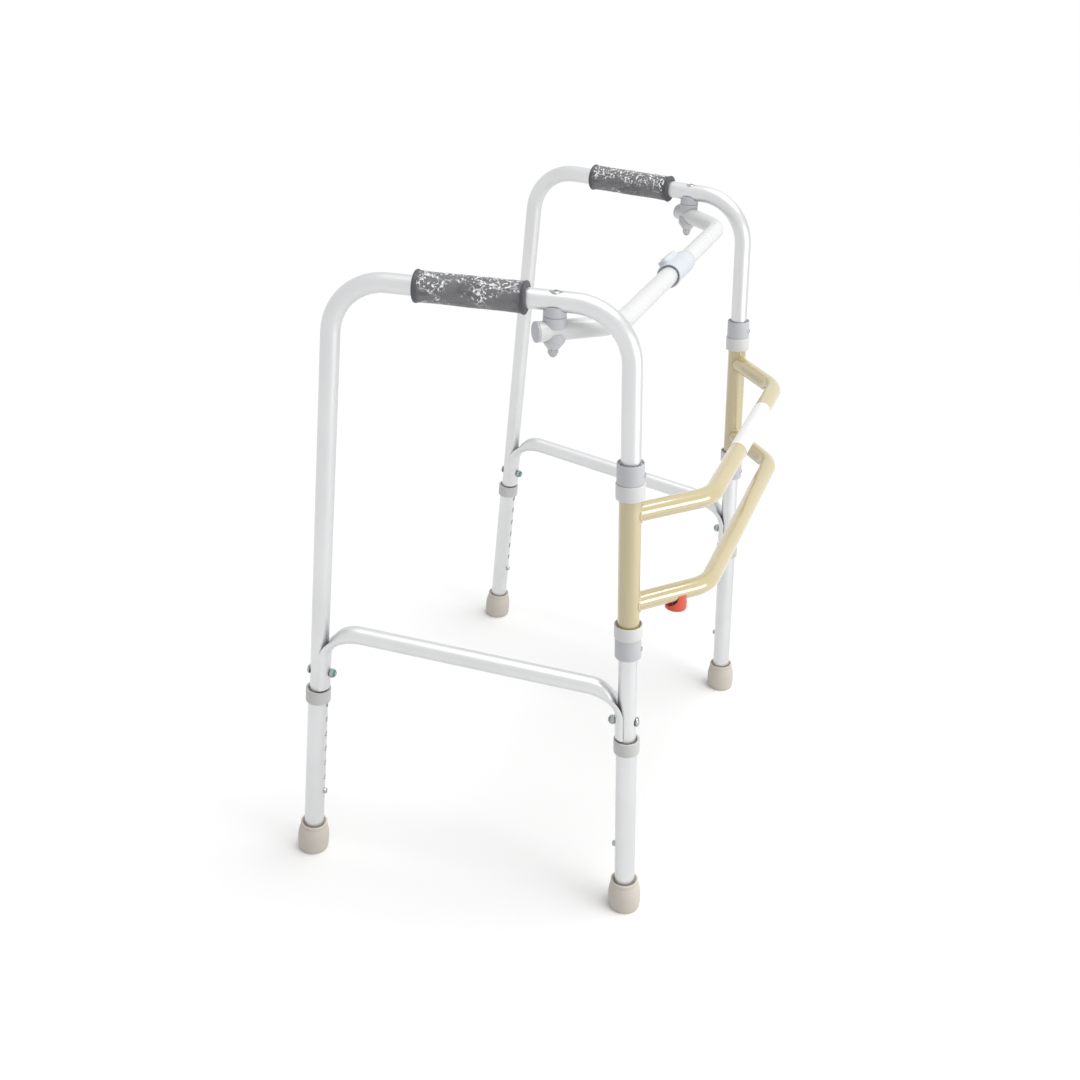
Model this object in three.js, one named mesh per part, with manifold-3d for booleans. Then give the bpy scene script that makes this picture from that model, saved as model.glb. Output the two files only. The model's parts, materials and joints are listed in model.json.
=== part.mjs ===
// Standard walker: two splayed tubular side frames on telescoping legs, a painted front frame whose
// sleeves carry their fold pivots, and a two-part swing bar joined at the middle by a sliding coupling.
// Axes while building: +X to the user's left, -Y to the front, +Z up, floor at zero, front feet at Y zero.
import * as THREE from "three";
import { mergeVertices } from "three/addons/utils/BufferGeometryUtils.js";
import Module from "manifold-3d";

const wasm = await Module();
wasm.setup();

// Driving dimensions in millimetres
const CLEARANCE = 0.3;
const TUBE_OD = 22.2;
const TUBE_WALL = 1.3;
const OUTER_TUBE_OD = 25.4;

// Side frame, drawn in its own upright plane: Y runs backward from the front foot, Z up
const HALF_TRACK = 272;
const SPLAY_DEGREES = 8.2;
const RAIL_HEIGHT = 785.6;
const FRONT_LEAN = 0.0664;
const REAR_LEAN = 0.058;
const RAIL_BEND_RADIUS = 65;
const LEG_TUBE_END = 67;

// Height adjustment
const HOLE_PITCH = 23;
const LOWEST_HOLE = 96;
const SNAP_HOLE_DIAMETER = 8;
const SNAP_BUTTON_DIAMETER = 7.4;
const SNAP_BUTTON_REACH = 3.6;
const SNAP_FLANGE_DIAMETER = 9.2;
const SNAP_FLANGE_THICKNESS = 1;
const SNAP_SPRING_WIDTH = 6;
const SNAP_SPRING_LENGTH = 30;
const SNAP_SPRING_THICKNESS = 0.8;
const SNAP_SPRING_OPENING = 8.6;
const OUTER_TUBE_BOTTOM = 10;

// Collar at the top of each outer leg tube, close under the brace
const COLLAR_DIAMETER = 31.5;
const COLLAR_LENGTH = 18;
const COLLAR_BELOW_BRACE = 2;
const COLLAR_LIP_BORE = 24.6;
const COLLAR_LIP_LENGTH = 4.7;
const RING_EDGE = 1;

// Rubber feet
const FOOT_DIAMETER = 41;
const FOOT_HEIGHT = 42;
const FOOT_PROFILE_SHARES = [
  [0.9, 0], [0.98, 0.12], [1, 0.48], [0.95, 0.66], [0.84, 0.86], [0.83, 1],
];

// Fixed rings and pivot caps on the front legs, placed on the stretch from brace to rail
const LOWER_RING_SHARE = 0.11;
const UPPER_RING_SHARE = 0.6363;
const RING_DIAMETER = 31;
const UPPER_RING_LENGTH = 23.5;
const LOWER_RING_LENGTH = 26;
const CAP_DIAMETER = 33;
const UPPER_CAP_LENGTH = 18.2;
const LOWER_CAP_LENGTH = 16.7;
const UPPER_CAP_FLOOR = 7.9;
const LOWER_CAP_FLOOR = 5.4;
const MOUTH_WALL = 1.9;
const MOUTH_DEPTH = 4;

// Hand grips, and the spaces before and behind them on the rail's straight stretch
const GRIP_DIAMETER = 33.5;
const GRIP_FLANGE_DIAMETER = 36;
const GRIP_LENGTH = 122;
const GRIP_FLANGE_THICKNESS = 3.2;
const GRIP_BODY_SHARES = [[1, 0.06], [0.975, 0.22], [1.005, 0.5], [0.975, 0.78], [1, 0.94]];
const PIVOT_BEHIND_BEND = 20.3;
const GRIP_BEHIND_PIVOT = 29.7;
const BEND_BEHIND_GRIP = 30.7;

// Side braces, whose ends bend down and are pressed to a crescent round the leg
const BRACE_FRONT_HEIGHT = 322;
const BRACE_REAR_HEIGHT = 344;
const BRACE_FRONT_DROP = 63;
const BRACE_REAR_DROP = 85;
const BRACE_BEND_RADIUS = 38;
const BRACE_SIDES = 14;
const CRESCENT_THICKNESS = 3.2;
const CRESCENT_HALF_DEGREES = 77;
const MORPH_START_SHARE = 0.15;

// Fasteners
const BOLT_DIAMETER = 6;
const BOLT_HEAD_DIAMETER = 12;
const BOLT_HEAD_HEIGHT = 3.4;
const BOLT_END = 1.5;
const BRACE_BOLT_RISE = 23;
const NUT_FLATS = 10;
const NUT_HEIGHT = 6;
const ACORN_HEIGHT = 9;
const HEAD_PROFILE_SHARES = [[1, 0], [1, 0.3], [0.9, 0.65], [0.55, 0.93]];

// Front frame
const FRONT_UPPER_DROP = 21;
const FRONT_LOWER_RISE = 25;
const FRONT_CORNER_INSET = 84;
const FRONT_REACH = 71.6;
const FRONT_BEND_RADIUS = 57;

// Swing bar and its pivots under the rails
const BAR_DROP = 32;
const BAR_CORNER_INSET = 51.7;
const BAR_REACH = 55.5;
const BAR_BEND_RADIUS = 55;
const BAR_TAIL = 19;
const BAR_END_GAP = 1;
const SADDLE_DIAMETER = 25;
const SADDLE_SHORTFALL = 1.6;
const LOWER_SADDLE_FLOOR = 8.6;
const LOWER_SADDLE_BASE_SHARE = 0.5;
const DIMPLE_DIAMETER = 15;
const DIMPLE_FLOOR_SHARE = 0.88;
const PLUG_HEAD = 2.6;
const PLUG_STEM = 9;

// Coupling over the joint of the swing bar
const COUPLING_NEAR = 30;
const COUPLING_FAR = 50;
const COUPLING_DIAMETER = 28;
const COUPLING_LIP_DIAMETER = 29.6;
const COUPLING_TAPER_SHARE = 0.9;
const COUPLING_LIP = 5;
const HUMP_LENGTH = 46;
const HUMP_WIDTH = 15;
const HUMP_HEIGHT = 5.6;
const HUMP_BEVEL = 1.6;
const HUMP_MIDDLE = 4;
const HUMP_TURN_DEGREES = 45;
const THUMB_LENGTH = 26;
const THUMB_WIDTH = 8.4;
const THUMB_DEPTH = 5.3;
const THUMB_TRAVEL = 2;
const THUMB_PROUD = 0.8;
const THUMB_SLOT_LENGTH = 11;
const THUMB_SLOT_WIDTH = 1.8;
const THUMB_SLOT_DEPTH = 1;

// Red release button under the right arm of the lower front tube
const RED_FROM_LEG = 51;
const RED_DIAMETER = 25.6;
const RED_BELOW_TUBE = 10;
const RED_TRAVEL = 4;
const RED_POCKET = 2;
const RED_STEM_DIAMETER = 6;
const RED_STEM_HEIGHT = 12;
const COIL_DIAMETER = 10.6;
const COIL_WIRE = 1.1;
const COIL_TURNS = 2;

// Facets
const TUBE_SIDES = 16;
const BORE_SIDES = 6;
const TURNED_SIDES = 14;
const HOLE_SIDES = 8;
const SMALL_SIDES = 8;
const HEXAGON_SIDES = 6;
const BEND_STEP_DEGREES = 22.5;
const ROUND_END_STEPS = 4;
const COIL_STEPS = 10;
const COIL_SIDES = 5;
const OVERRUN = 5;

// Lengths of the leg between brace and rail, from the sizes above
const UPPER_STRETCH = RAIL_HEIGHT - BRACE_FRONT_HEIGHT;
const LOWER_RING_BOTTOM = BRACE_FRONT_HEIGHT + LOWER_RING_SHARE * UPPER_STRETCH;
const LOWER_RING_TOP = LOWER_RING_BOTTOM + LOWER_RING_LENGTH;
const LOWER_CAP_BOTTOM = LOWER_RING_TOP + CLEARANCE;
const LOWER_CAP_TOP = LOWER_CAP_BOTTOM + LOWER_CAP_LENGTH;
const SLEEVE_BOTTOM = LOWER_CAP_BOTTOM + LOWER_CAP_FLOOR + CLEARANCE;
const UPPER_RING_TOP = BRACE_FRONT_HEIGHT + UPPER_RING_SHARE * UPPER_STRETCH;
const UPPER_RING_BOTTOM = UPPER_RING_TOP - UPPER_RING_LENGTH;
const UPPER_CAP_TOP = UPPER_RING_BOTTOM - CLEARANCE;
const UPPER_CAP_BOTTOM = UPPER_CAP_TOP - UPPER_CAP_LENGTH;
const SLEEVE_TOP = UPPER_CAP_TOP - UPPER_CAP_FLOOR - CLEARANCE;
const FRONT_LOWER_HEIGHT = LOWER_CAP_TOP + FRONT_LOWER_RISE;
const FRONT_UPPER_HEIGHT = UPPER_CAP_BOTTOM - FRONT_UPPER_DROP;

// Distances back along the rail: bend, pivot, grip, bend, and from them the rear foot
const FRONT_ANGLE = Math.atan(FRONT_LEAN);
const REAR_ANGLE = Math.atan(REAR_LEAN);
const FRONT_BEND_TANGENT = RAIL_BEND_RADIUS * Math.tan((Math.PI / 2 - FRONT_ANGLE) / 2);
const REAR_BEND_TANGENT = RAIL_BEND_RADIUS * Math.tan((Math.PI / 2 - REAR_ANGLE) / 2);
const PIVOT_BACK = FRONT_LEAN * RAIL_HEIGHT + FRONT_BEND_TANGENT + PIVOT_BEHIND_BEND;
const GRIP_FRONT = PIVOT_BACK + GRIP_BEHIND_PIVOT;
const RAIL_REAR_CORNER = GRIP_FRONT + GRIP_LENGTH + BEND_BEHIND_GRIP + REAR_BEND_TANGENT;
const REAR_FOOT_BACK = RAIL_REAR_CORNER + REAR_LEAN * RAIL_HEIGHT;

const X_AXIS = new THREE.Vector3(1, 0, 0);
const Y_AXIS = new THREE.Vector3(0, 1, 0);
const Z_AXIS = new THREE.Vector3(0, 0, 1);

// Materials
function material(colour, roughness, metalness) {
  return new THREE.MeshStandardMaterial({ color: colour, roughness, metalness });
}
function aluminium() {
  return material(0xc9cbce, 0.38, 1);
}
function enamel() {
  return material(0xcbbf9f, 0.35, 0);
}
function whitePaint() {
  return material(0xe9eaeb, 0.35, 0);
}
function greyPlastic() {
  return material(0xc4c8cc, 0.5, 0);
}
function paleBluePlastic() {
  return material(0xc3ccd8, 0.45, 0);
}
function footRubber() {
  return material(0x77736c, 0.85, 0);
}
function gripVinyl() {
  return material(0x35363b, 0.6, 0);
}
function zincSteel() {
  return material(0xb9b9b4, 0.35, 1);
}
function springSteel() {
  return material(0x9c9d9e, 0.3, 1);
}
function redPlastic() {
  return material(0xb5332c, 0.45, 0);
}

// A geometry as a closed solid whose faces point out
function solidOf(geometry) {
  const plain = geometry.index ? geometry.toNonIndexed() : geometry.clone();
  plain.deleteAttribute("normal");
  plain.deleteAttribute("uv");
  const merged = mergeVertices(plain, 1e-4);
  const source = merged.index.array;
  const position = merged.attributes.position;
  const corner = [new THREE.Vector3(), new THREE.Vector3(), new THREE.Vector3()];
  const kept = [];
  let volume = 0;
  for (let i = 0; i < source.length; i += 3) {
    const [a, b, c] = source.slice(i, i + 3);
    if (a === b || b === c || c === a) continue;
    kept.push(a, b, c);
    [a, b, c].forEach((v, k) => corner[k].fromBufferAttribute(position, v));
    volume += corner[0].dot(corner[1].cross(corner[2]));
  }
  if (volume < 0) kept.reverse();
  return new wasm.Manifold(
    new wasm.Mesh({
      numProp: 3,
      vertProperties: Float32Array.from(position.array),
      triVerts: Uint32Array.from(kept),
    }),
  );
}

function geometryOf(solid) {
  const made = solid.getMesh();
  const geometry = new THREE.BufferGeometry();
  geometry.setAttribute("position", new THREE.BufferAttribute(made.vertProperties, 3));
  geometry.setIndex(new THREE.BufferAttribute(made.triVerts, 1));
  geometry.computeVertexNormals();
  return geometry;
}

function joined(...geometries) {
  return geometries.map(solidOf).reduce((whole, piece) => whole.add(piece));
}

function without(solid, ...cutters) {
  return cutters.reduce((whole, cutter) => whole.subtract(solidOf(cutter)), solid);
}

function named(name, solid, finish) {
  const mesh = new THREE.Mesh(geometryOf(solid), finish);
  mesh.name = name;
  return mesh;
}

function group(name, ...members) {
  const made = new THREE.Group();
  made.name = name;
  if (members.length) made.add(...members);
  return made;
}

function placed(matrix, made) {
  made.applyMatrix4(matrix);
  return made;
}

// Solids of revolution about +Z from [radius, height] rows
function turned(rows, sides = TURNED_SIDES) {
  const points = rows.map(([radius, height]) => new THREE.Vector2(radius, height));
  return new THREE.LatheGeometry(points, sides).rotateX(Math.PI / 2);
}

// Corner radius of a bore of flat sides that clears a round piece by the usual gap
function boreRadius(diameter, sides = TURNED_SIDES) {
  return (diameter / 2 + CLEARANCE) / Math.cos(Math.PI / sides);
}

function rod(diameter, bottom, top, sides = TUBE_SIDES) {
  const radius = diameter / 2;
  return turned([[0, bottom], [radius, bottom], [radius, top], [0, top]], sides);
}

// Outline of a ring from its closed end to its open end, where the bore widens to a thin-walled mouth
function mouthRows(bore, diameter, closed, open) {
  const outer = diameter / 2;
  const way = Math.sign(open - closed);
  return [
    [outer - RING_EDGE, closed],
    [outer, closed + way * RING_EDGE],
    [outer, open - way * RING_EDGE],
    [outer - RING_EDGE, open],
    [outer - MOUTH_WALL, open],
    [bore, open - way * MOUTH_DEPTH],
  ];
}

// A rod along any axis through a point
function rodAlong(point, direction, diameter, back, ahead, sides = TUBE_SIDES) {
  const turn = new THREE.Quaternion().setFromUnitVectors(Z_AXIS, direction.clone().normalize());
  return rod(diameter, -back, ahead, sides).applyQuaternion(turn).translate(...point.toArray());
}

// A path that passes exactly through its stations, so that straight runs need no extra rings
class StationPath extends THREE.Curve {
  constructor(points, tangents) {
    super();
    this.points = points;
    this.tangents = tangents;
  }
  stationAt(share) {
    return Math.round(share * (this.points.length - 1));
  }
  getPoint(share) {
    return this.points[this.stationAt(share)].clone();
  }
  getPointAt(share) {
    return this.getPoint(share);
  }
  getTangentAt(share) {
    return this.tangents[this.stationAt(share)].clone();
  }
}

// Corner points joined by straight runs and equal bends
function bentPath(corners, bendRadius) {
  const points = [];
  const tangents = [];
  const station = (point, tangent) => {
    points.push(point);
    tangents.push(tangent);
  };
  const heading = (i) => corners[i + 1].clone().sub(corners[i]).normalize();
  station(corners[0].clone(), heading(0));
  for (let i = 1; i < corners.length - 1; i += 1) {
    const before = heading(i - 1);
    const after = heading(i);
    const angle = before.angleTo(after);
    const steps = Math.ceil(THREE.MathUtils.radToDeg(angle) / BEND_STEP_DEGREES);
    const axis = before.clone().cross(after).normalize();
    const start = corners[i].clone().addScaledVector(before, -bendRadius * Math.tan(angle / 2));
    const centre = start.clone().addScaledVector(axis.clone().cross(before), bendRadius);
    for (let k = 0; k <= steps; k += 1) {
      const turn = (angle * k) / steps;
      station(
        start.clone().sub(centre).applyAxisAngle(axis, turn).add(centre),
        before.clone().applyAxisAngle(axis, turn),
      );
    }
  }
  station(corners[corners.length - 1].clone(), heading(corners.length - 2));
  return new StationPath(points, tangents);
}

function polygon(Kind, radius, sides) {
  const corner = (k) => {
    const angle = (2 * Math.PI * k) / sides;
    return new THREE.Vector2(radius * Math.cos(angle), radius * Math.sin(angle));
  };
  return new Kind(Array.from({ length: sides }, (_, k) => corner(k)));
}

function hollowTube(path, diameter = TUBE_OD, wall = TUBE_WALL, boreSides = BORE_SIDES) {
  const section = polygon(THREE.Shape, diameter / 2, TUBE_SIDES);
  section.holes.push(polygon(THREE.Path, diameter / 2 - wall, boreSides));
  return new THREE.ExtrudeGeometry(section, {
    steps: path.points.length - 1,
    extrudePath: path,
  });
}

// Frames: the side frame turned about its own front leg, and one frame for each leg with +Y inward
const FOLD_AXIS = new THREE.Vector3(0, Math.sin(FRONT_ANGLE), Math.cos(FRONT_ANGLE));
const SIDE_FRAME = new THREE.Matrix4()
  .makeRotationAxis(FOLD_AXIS, -THREE.MathUtils.degToRad(SPLAY_DEGREES))
  .setPosition(HALF_TRACK, 0, 0);
const FRONT_LEG_FRAME = new THREE.Matrix4().makeRotationX(-FRONT_ANGLE);
const REAR_LEG_FRAME = new THREE.Matrix4()
  .makeRotationX(REAR_ANGLE)
  .multiply(new THREE.Matrix4().makeRotationZ(Math.PI))
  .setPosition(0, REAR_FOOT_BACK, 0);
const COLUMN_FRAME = new THREE.Matrix4()
  .makeRotationX(-FRONT_ANGLE)
  .setPosition(HALF_TRACK, 0, 0);

// Each leg's frame, and the heights along it that follow from where the brace ends
function legPlaces(frame, braceHeight, braceDrop) {
  const braceEnd = braceHeight - braceDrop;
  const collarTop = braceEnd - COLLAR_BELOW_BRACE;
  const ledge = collarTop - COLLAR_LIP_LENGTH;
  return {
    frame,
    braceEnd,
    boltHeight: braceEnd + BRACE_BOLT_RISE,
    collarTop,
    collarBottom: collarTop - COLLAR_LENGTH,
    ledge,
    outerTubeTop: ledge - CLEARANCE,
  };
}
const LEGS = {
  front: legPlaces(FRONT_LEG_FRAME, BRACE_FRONT_HEIGHT, BRACE_FRONT_DROP),
  rear: legPlaces(REAR_LEG_FRAME, BRACE_REAR_HEIGHT, BRACE_REAR_DROP),
};

function sidePoint(back, height) {
  return new THREE.Vector3(0, back, height);
}

function frontLegPoint(height) {
  return sidePoint(FRONT_LEAN * height, height);
}

function rearLegPoint(height) {
  return sidePoint(REAR_FOOT_BACK - REAR_LEAN * height, height);
}

// Swing bar places, in the walker's frame, on the +X side
const BAR_HEIGHT = RAIL_HEIGHT - BAR_DROP;
const RAIL_PIVOT = sidePoint(PIVOT_BACK, RAIL_HEIGHT).applyMatrix4(SIDE_FRAME);
const RAIL_DIRECTION = Y_AXIS.clone().transformDirection(SIDE_FRAME);
const BAR_PIVOT = new THREE.Vector3(RAIL_PIVOT.x, RAIL_PIVOT.y, BAR_HEIGHT);
const BAR_CROSSING = BAR_PIVOT.y - BAR_REACH;
const BAR_BEND = new THREE.Vector3(BAR_PIVOT.x - BAR_CORNER_INSET, BAR_CROSSING, BAR_HEIGHT);
const ARM_DIRECTION = BAR_PIVOT.clone().sub(BAR_BEND).normalize();
const BOLT_HOLE = 2 * boreRadius(BOLT_DIAMETER, HOLE_SIDES);

function pivotHole() {
  return rodAlong(RAIL_PIVOT, Z_AXIS, BOLT_HOLE, 2 * BAR_DROP, TUBE_OD, HOLE_SIDES);
}

// Radial hole through the wall on the inward side of a leg, at a height along that leg
function inwardHole(height, diameter) {
  const place = new THREE.Vector3(0, 0, height);
  return rodAlong(place, Y_AXIS, diameter, -TUBE_OD / 4, OUTER_TUBE_OD, HOLE_SIDES);
}

function braceBoltHole({ boltHeight }) {
  const place = new THREE.Vector3(0, 0, boltHeight);
  return rodAlong(place, Y_AXIS, BOLT_HOLE, OUTER_TUBE_OD, OUTER_TUBE_OD, HOLE_SIDES);
}

// The head of the pivot bolt sits in a round dimple pressed into the top of the rail
const HEAD_SEAT = RAIL_PIVOT.z + TUBE_OD / 2 - BOLT_HEAD_HEIGHT;

function dimpleCone(floor, top, thickness) {
  const wide = DIMPLE_DIAMETER / 2 + thickness;
  const narrow = (DIMPLE_FLOOR_SHARE * DIMPLE_DIAMETER) / 2 + thickness;
  const cone = turned([[0, floor], [narrow, floor], [wide, top], [0, top]], SMALL_SIDES);
  return cone.translate(RAIL_PIVOT.x, RAIL_PIVOT.y, 0);
}

function dimpleCup() {
  const floor = HEAD_SEAT - CLEARANCE - TUBE_WALL;
  const cup = dimpleCone(floor, HEAD_SEAT + BOLT_HEAD_HEIGHT, TUBE_WALL);
  const core = rodAlong(RAIL_PIVOT, RAIL_DIRECTION, TUBE_OD - TUBE_WALL, TUBE_OD, TUBE_OD);
  return solidOf(intoSide(cup)).intersect(solidOf(intoSide(core)));
}

// One bent tube makes the front leg, the rail and the rear leg
function sideTube() {
  const path = bentPath(
    [
      frontLegPoint(LEG_TUBE_END),
      frontLegPoint(RAIL_HEIGHT),
      rearLegPoint(RAIL_HEIGHT),
      rearLegPoint(LEG_TUBE_END),
    ],
    RAIL_BEND_RADIUS,
  );
  const holes = Object.values(LEGS).flatMap((leg) => [
    inwardHole(LOWEST_HOLE, SNAP_HOLE_DIAMETER).applyMatrix4(leg.frame),
    braceBoltHole(leg).applyMatrix4(leg.frame),
  ]);
  const recess = intoSide(dimpleCone(HEAD_SEAT - CLEARANCE, HEAD_SEAT + BOLT_HEAD_HEIGHT + OVERRUN, 0));
  const tube = solidOf(hollowTube(path)).add(dimpleCup());
  return without(tube, ...holes, recess, intoSide(pivotHole()));
}

function intoSide(geometry) {
  return geometry.applyMatrix4(SIDE_FRAME.clone().invert());
}

function grip() {
  const flange = GRIP_FLANGE_DIAMETER / 2;
  const body = GRIP_BODY_SHARES.map(([r, z]) => [(r * GRIP_DIAMETER) / 2, z * GRIP_LENGTH]);
  const bore = boreRadius(TUBE_OD);
  const rows = [
    [bore, 0],
    [flange - RING_EDGE, 0],
    [flange, RING_EDGE],
    [flange, GRIP_FLANGE_THICKNESS],
    ...body,
    [flange, GRIP_LENGTH - GRIP_FLANGE_THICKNESS],
    [flange, GRIP_LENGTH - RING_EDGE],
    [flange - RING_EDGE, GRIP_LENGTH],
    [bore, GRIP_LENGTH],
    [bore, 0],
  ];
  return solidOf(turned(rows).rotateX(-Math.PI / 2).translate(0, GRIP_FRONT, RAIL_HEIGHT));
}

// Brace sections: a circle, a crescent round the leg, and the blend between them
const CRESCENT_RADIUS = TUBE_OD / 2 + CLEARANCE + CRESCENT_THICKNESS / 2;

function braceSection(blend) {
  const points = [];
  for (let k = 0; k < BRACE_SIDES; k += 1) {
    const angle = (2 * Math.PI * k) / BRACE_SIDES;
    const [away, across] = [Math.cos(angle), Math.sin(angle)];
    const spread = THREE.MathUtils.degToRad(CRESCENT_HALF_DEGREES) * (Math.asin(across) / (Math.PI / 2));
    const face = Math.abs(away) < 1e-6 ? 0 : Math.sign(away);
    const radius = CRESCENT_RADIUS + (face * CRESCENT_THICKNESS) / 2;
    const round = new THREE.Vector2(away, across).multiplyScalar(TUBE_OD / 2);
    const crescent = new THREE.Vector2(
      radius * Math.cos(spread) - CRESCENT_RADIUS,
      radius * Math.sin(spread),
    );
    points.push(round.lerp(crescent, blend));
  }
  return points;
}

// Quads between successive rings of points, closed by triangulated end faces
function lofted(rings, sections) {
  const sides = rings[0].length;
  const vertices = rings.flat().flatMap((point) => point.toArray());
  const faces = [];
  for (let i = 0; i + 1 < rings.length; i += 1) {
    for (let k = 0; k < sides; k += 1) {
      const [a, b] = [i * sides + k, i * sides + ((k + 1) % sides)];
      faces.push(a, b, a + sides, b, b + sides, a + sides);
    }
  }
  const last = (rings.length - 1) * sides;
  const cap = (section) => THREE.ShapeUtils.triangulateShape(section, []);
  cap(sections[0]).forEach(([a, b, c]) => faces.push(c, b, a));
  cap(sections[sections.length - 1]).forEach(([a, b, c]) => faces.push(last + a, last + b, last + c));
  const geometry = new THREE.BufferGeometry();
  geometry.setAttribute("position", new THREE.Float32BufferAttribute(vertices, 3));
  geometry.setIndex(faces);
  return geometry;
}

function crescentLine(legPoint, sign) {
  const offset = new THREE.Vector3(0, sign * CRESCENT_RADIUS, 0);
  return (height) => legPoint(height).add(offset);
}

// The brace axis meets each crescent line where a straight sloping line crosses it
function braceCorners() {
  const front = crescentLine(frontLegPoint, 1);
  const rear = crescentLine(rearLegPoint, -1);
  return [
    front(LEGS.front.braceEnd),
    front(BRACE_FRONT_HEIGHT),
    rear(BRACE_REAR_HEIGHT),
    rear(LEGS.rear.braceEnd),
  ];
}

// The section turns from a circle to a crescent as the path turns from the straight run to the leg
function braceBlends({ tangents }, level) {
  const last = tangents.length - 1;
  return tangents.map((tangent, i) => {
    const end = tangents[i < last / 2 ? 0 : last];
    const share = tangent.angleTo(level) / end.angleTo(level);
    return THREE.MathUtils.smoothstep(share, MORPH_START_SHARE, 1);
  });
}

function brace() {
  const corners = braceCorners();
  const level = corners[2].clone().sub(corners[1]).normalize();
  const path = bentPath(corners, BRACE_BEND_RADIUS);
  const sections = braceBlends(path, level).map(braceSection);
  const rings = path.points.map((point, i) => {
    const away = path.tangents[i].clone().cross(X_AXIS).multiplyScalar(-1).normalize();
    return sections[i].map(({ x, y }) =>
      point.clone().addScaledVector(away, -x).addScaledVector(X_AXIS, y),
    );
  });
  const holes = Object.values(LEGS).map((leg) => braceBoltHole(leg).applyMatrix4(leg.frame));
  return without(solidOf(lofted(rings, sections)), ...holes);
}

// Fasteners point along +Z: the head above its seat at zero, the shank below
function bolt(shank) {
  const radius = BOLT_DIAMETER / 2;
  const head = HEAD_PROFILE_SHARES.map(([r, z]) => [
    (r * BOLT_HEAD_DIAMETER) / 2,
    z * BOLT_HEAD_HEIGHT,
  ]);
  const rows = [
    [0, -shank],
    [radius - BOLT_END / 2, -shank],
    [radius, BOLT_END / 2 - shank],
    [radius, 0],
    ...head,
    [0, BOLT_HEAD_HEIGHT],
  ];
  return turned(rows, SMALL_SIDES);
}

function hexagon(bottom, top) {
  const across = NUT_FLATS / Math.cos(Math.PI / 6);
  return rod(across, bottom, top, HEXAGON_SIDES);
}

// Nut with a raised collar that holds its nylon insert
function insertNut() {
  const collar = rod(NUT_FLATS - CLEARANCE, NUT_HEIGHT / 2, NUT_HEIGHT, SMALL_SIDES);
  const body = joined(hexagon(0, NUT_HEIGHT - BOLT_END), collar);
  return without(body, rod(BOLT_HOLE, -OVERRUN, NUT_HEIGHT + OVERRUN, HOLE_SIDES));
}

const BRACE_STACK = TUBE_OD / 2 + CLEARANCE + CRESCENT_THICKNESS + CLEARANCE;

function facing(direction, distance, height) {
  const turn = new THREE.Quaternion().setFromUnitVectors(Z_AXIS, direction);
  const place = direction.clone().multiplyScalar(distance).setZ(height);
  return new THREE.Matrix4().compose(place, turn, new THREE.Vector3(1, 1, 1));
}

function braceBolt({ boltHeight }) {
  const seat = TUBE_OD / 2 + CLEARANCE;
  const shank = seat + BRACE_STACK + NUT_HEIGHT + BOLT_END;
  const outward = Y_AXIS.clone().negate();
  return solidOf(bolt(shank).applyMatrix4(facing(outward, seat, boltHeight)));
}

function braceNut({ boltHeight }) {
  const place = facing(Y_AXIS, BRACE_STACK, boltHeight);
  return insertNut().transform(place.elements);
}

// A straight outer tube that the leg tube slides or turns in
function outerTube(bottom, top) {
  const wall = (OUTER_TUBE_OD - TUBE_OD) / 2 - CLEARANCE;
  const ends = [bottom, top].map((z) => new THREE.Vector3(0, 0, z));
  return solidOf(hollowTube(bentPath(ends, 0), OUTER_TUBE_OD, wall, TUBE_SIDES));
}

// Outer leg tube with its row of adjusting holes, all below the collar
function lowerLeg({ outerTubeTop, collarBottom }) {
  const holes = [];
  for (let z = LOWEST_HOLE; z + SNAP_HOLE_DIAMETER / 2 < collarBottom; z += HOLE_PITCH) {
    holes.push(inwardHole(z, SNAP_HOLE_DIAMETER));
  }
  return without(outerTube(OUTER_TUBE_BOTTOM, outerTubeTop), ...holes);
}

function collar({ collarBottom, collarTop, ledge }) {
  const bore = boreRadius(OUTER_TUBE_OD);
  const outer = COLLAR_DIAMETER / 2;
  return solidOf(
    turned([
      [bore, collarBottom],
      [outer - RING_EDGE, collarBottom],
      [outer, collarBottom + RING_EDGE],
      [outer, collarTop - RING_EDGE],
      [outer - RING_EDGE, collarTop],
      [COLLAR_LIP_BORE / 2, collarTop],
      [COLLAR_LIP_BORE / 2, ledge],
      [bore, ledge],
      [bore, collarBottom],
    ]),
  );
}

// Bell-shaped tip, cut flat by the floor whatever the lean of its leg
function foot({ frame }) {
  const socket = boreRadius(OUTER_TUBE_OD);
  const floorOfSocket = OUTER_TUBE_BOTTOM - CLEARANCE;
  const outline = FOOT_PROFILE_SHARES.map(([r, z]) => [(r * FOOT_DIAMETER) / 2, z * FOOT_HEIGHT]);
  const below = -OVERRUN;
  const rows = [
    [0, below],
    [outline[0][0], below],
    ...outline,
    [socket, FOOT_HEIGHT],
    [socket, floorOfSocket],
    [0, floorOfSocket],
  ];
  const toWorld = SIDE_FRAME.clone().multiply(frame);
  const underFloor = new THREE.BoxGeometry(FOOT_DIAMETER * 2, FOOT_DIAMETER * 2, FOOT_DIAMETER);
  const centre = new THREE.Vector3().setFromMatrixPosition(toWorld);
  underFloor.translate(centre.x, centre.y, -FOOT_DIAMETER / 2);
  return without(solidOf(turned(rows)), underFloor.applyMatrix4(toWorld.invert()));
}

// Distance from a tube's axis to the flats of its bore
const BORE_FLAT = (TUBE_OD / 2 - TUBE_WALL) * Math.cos(Math.PI / BORE_SIDES);

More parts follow.
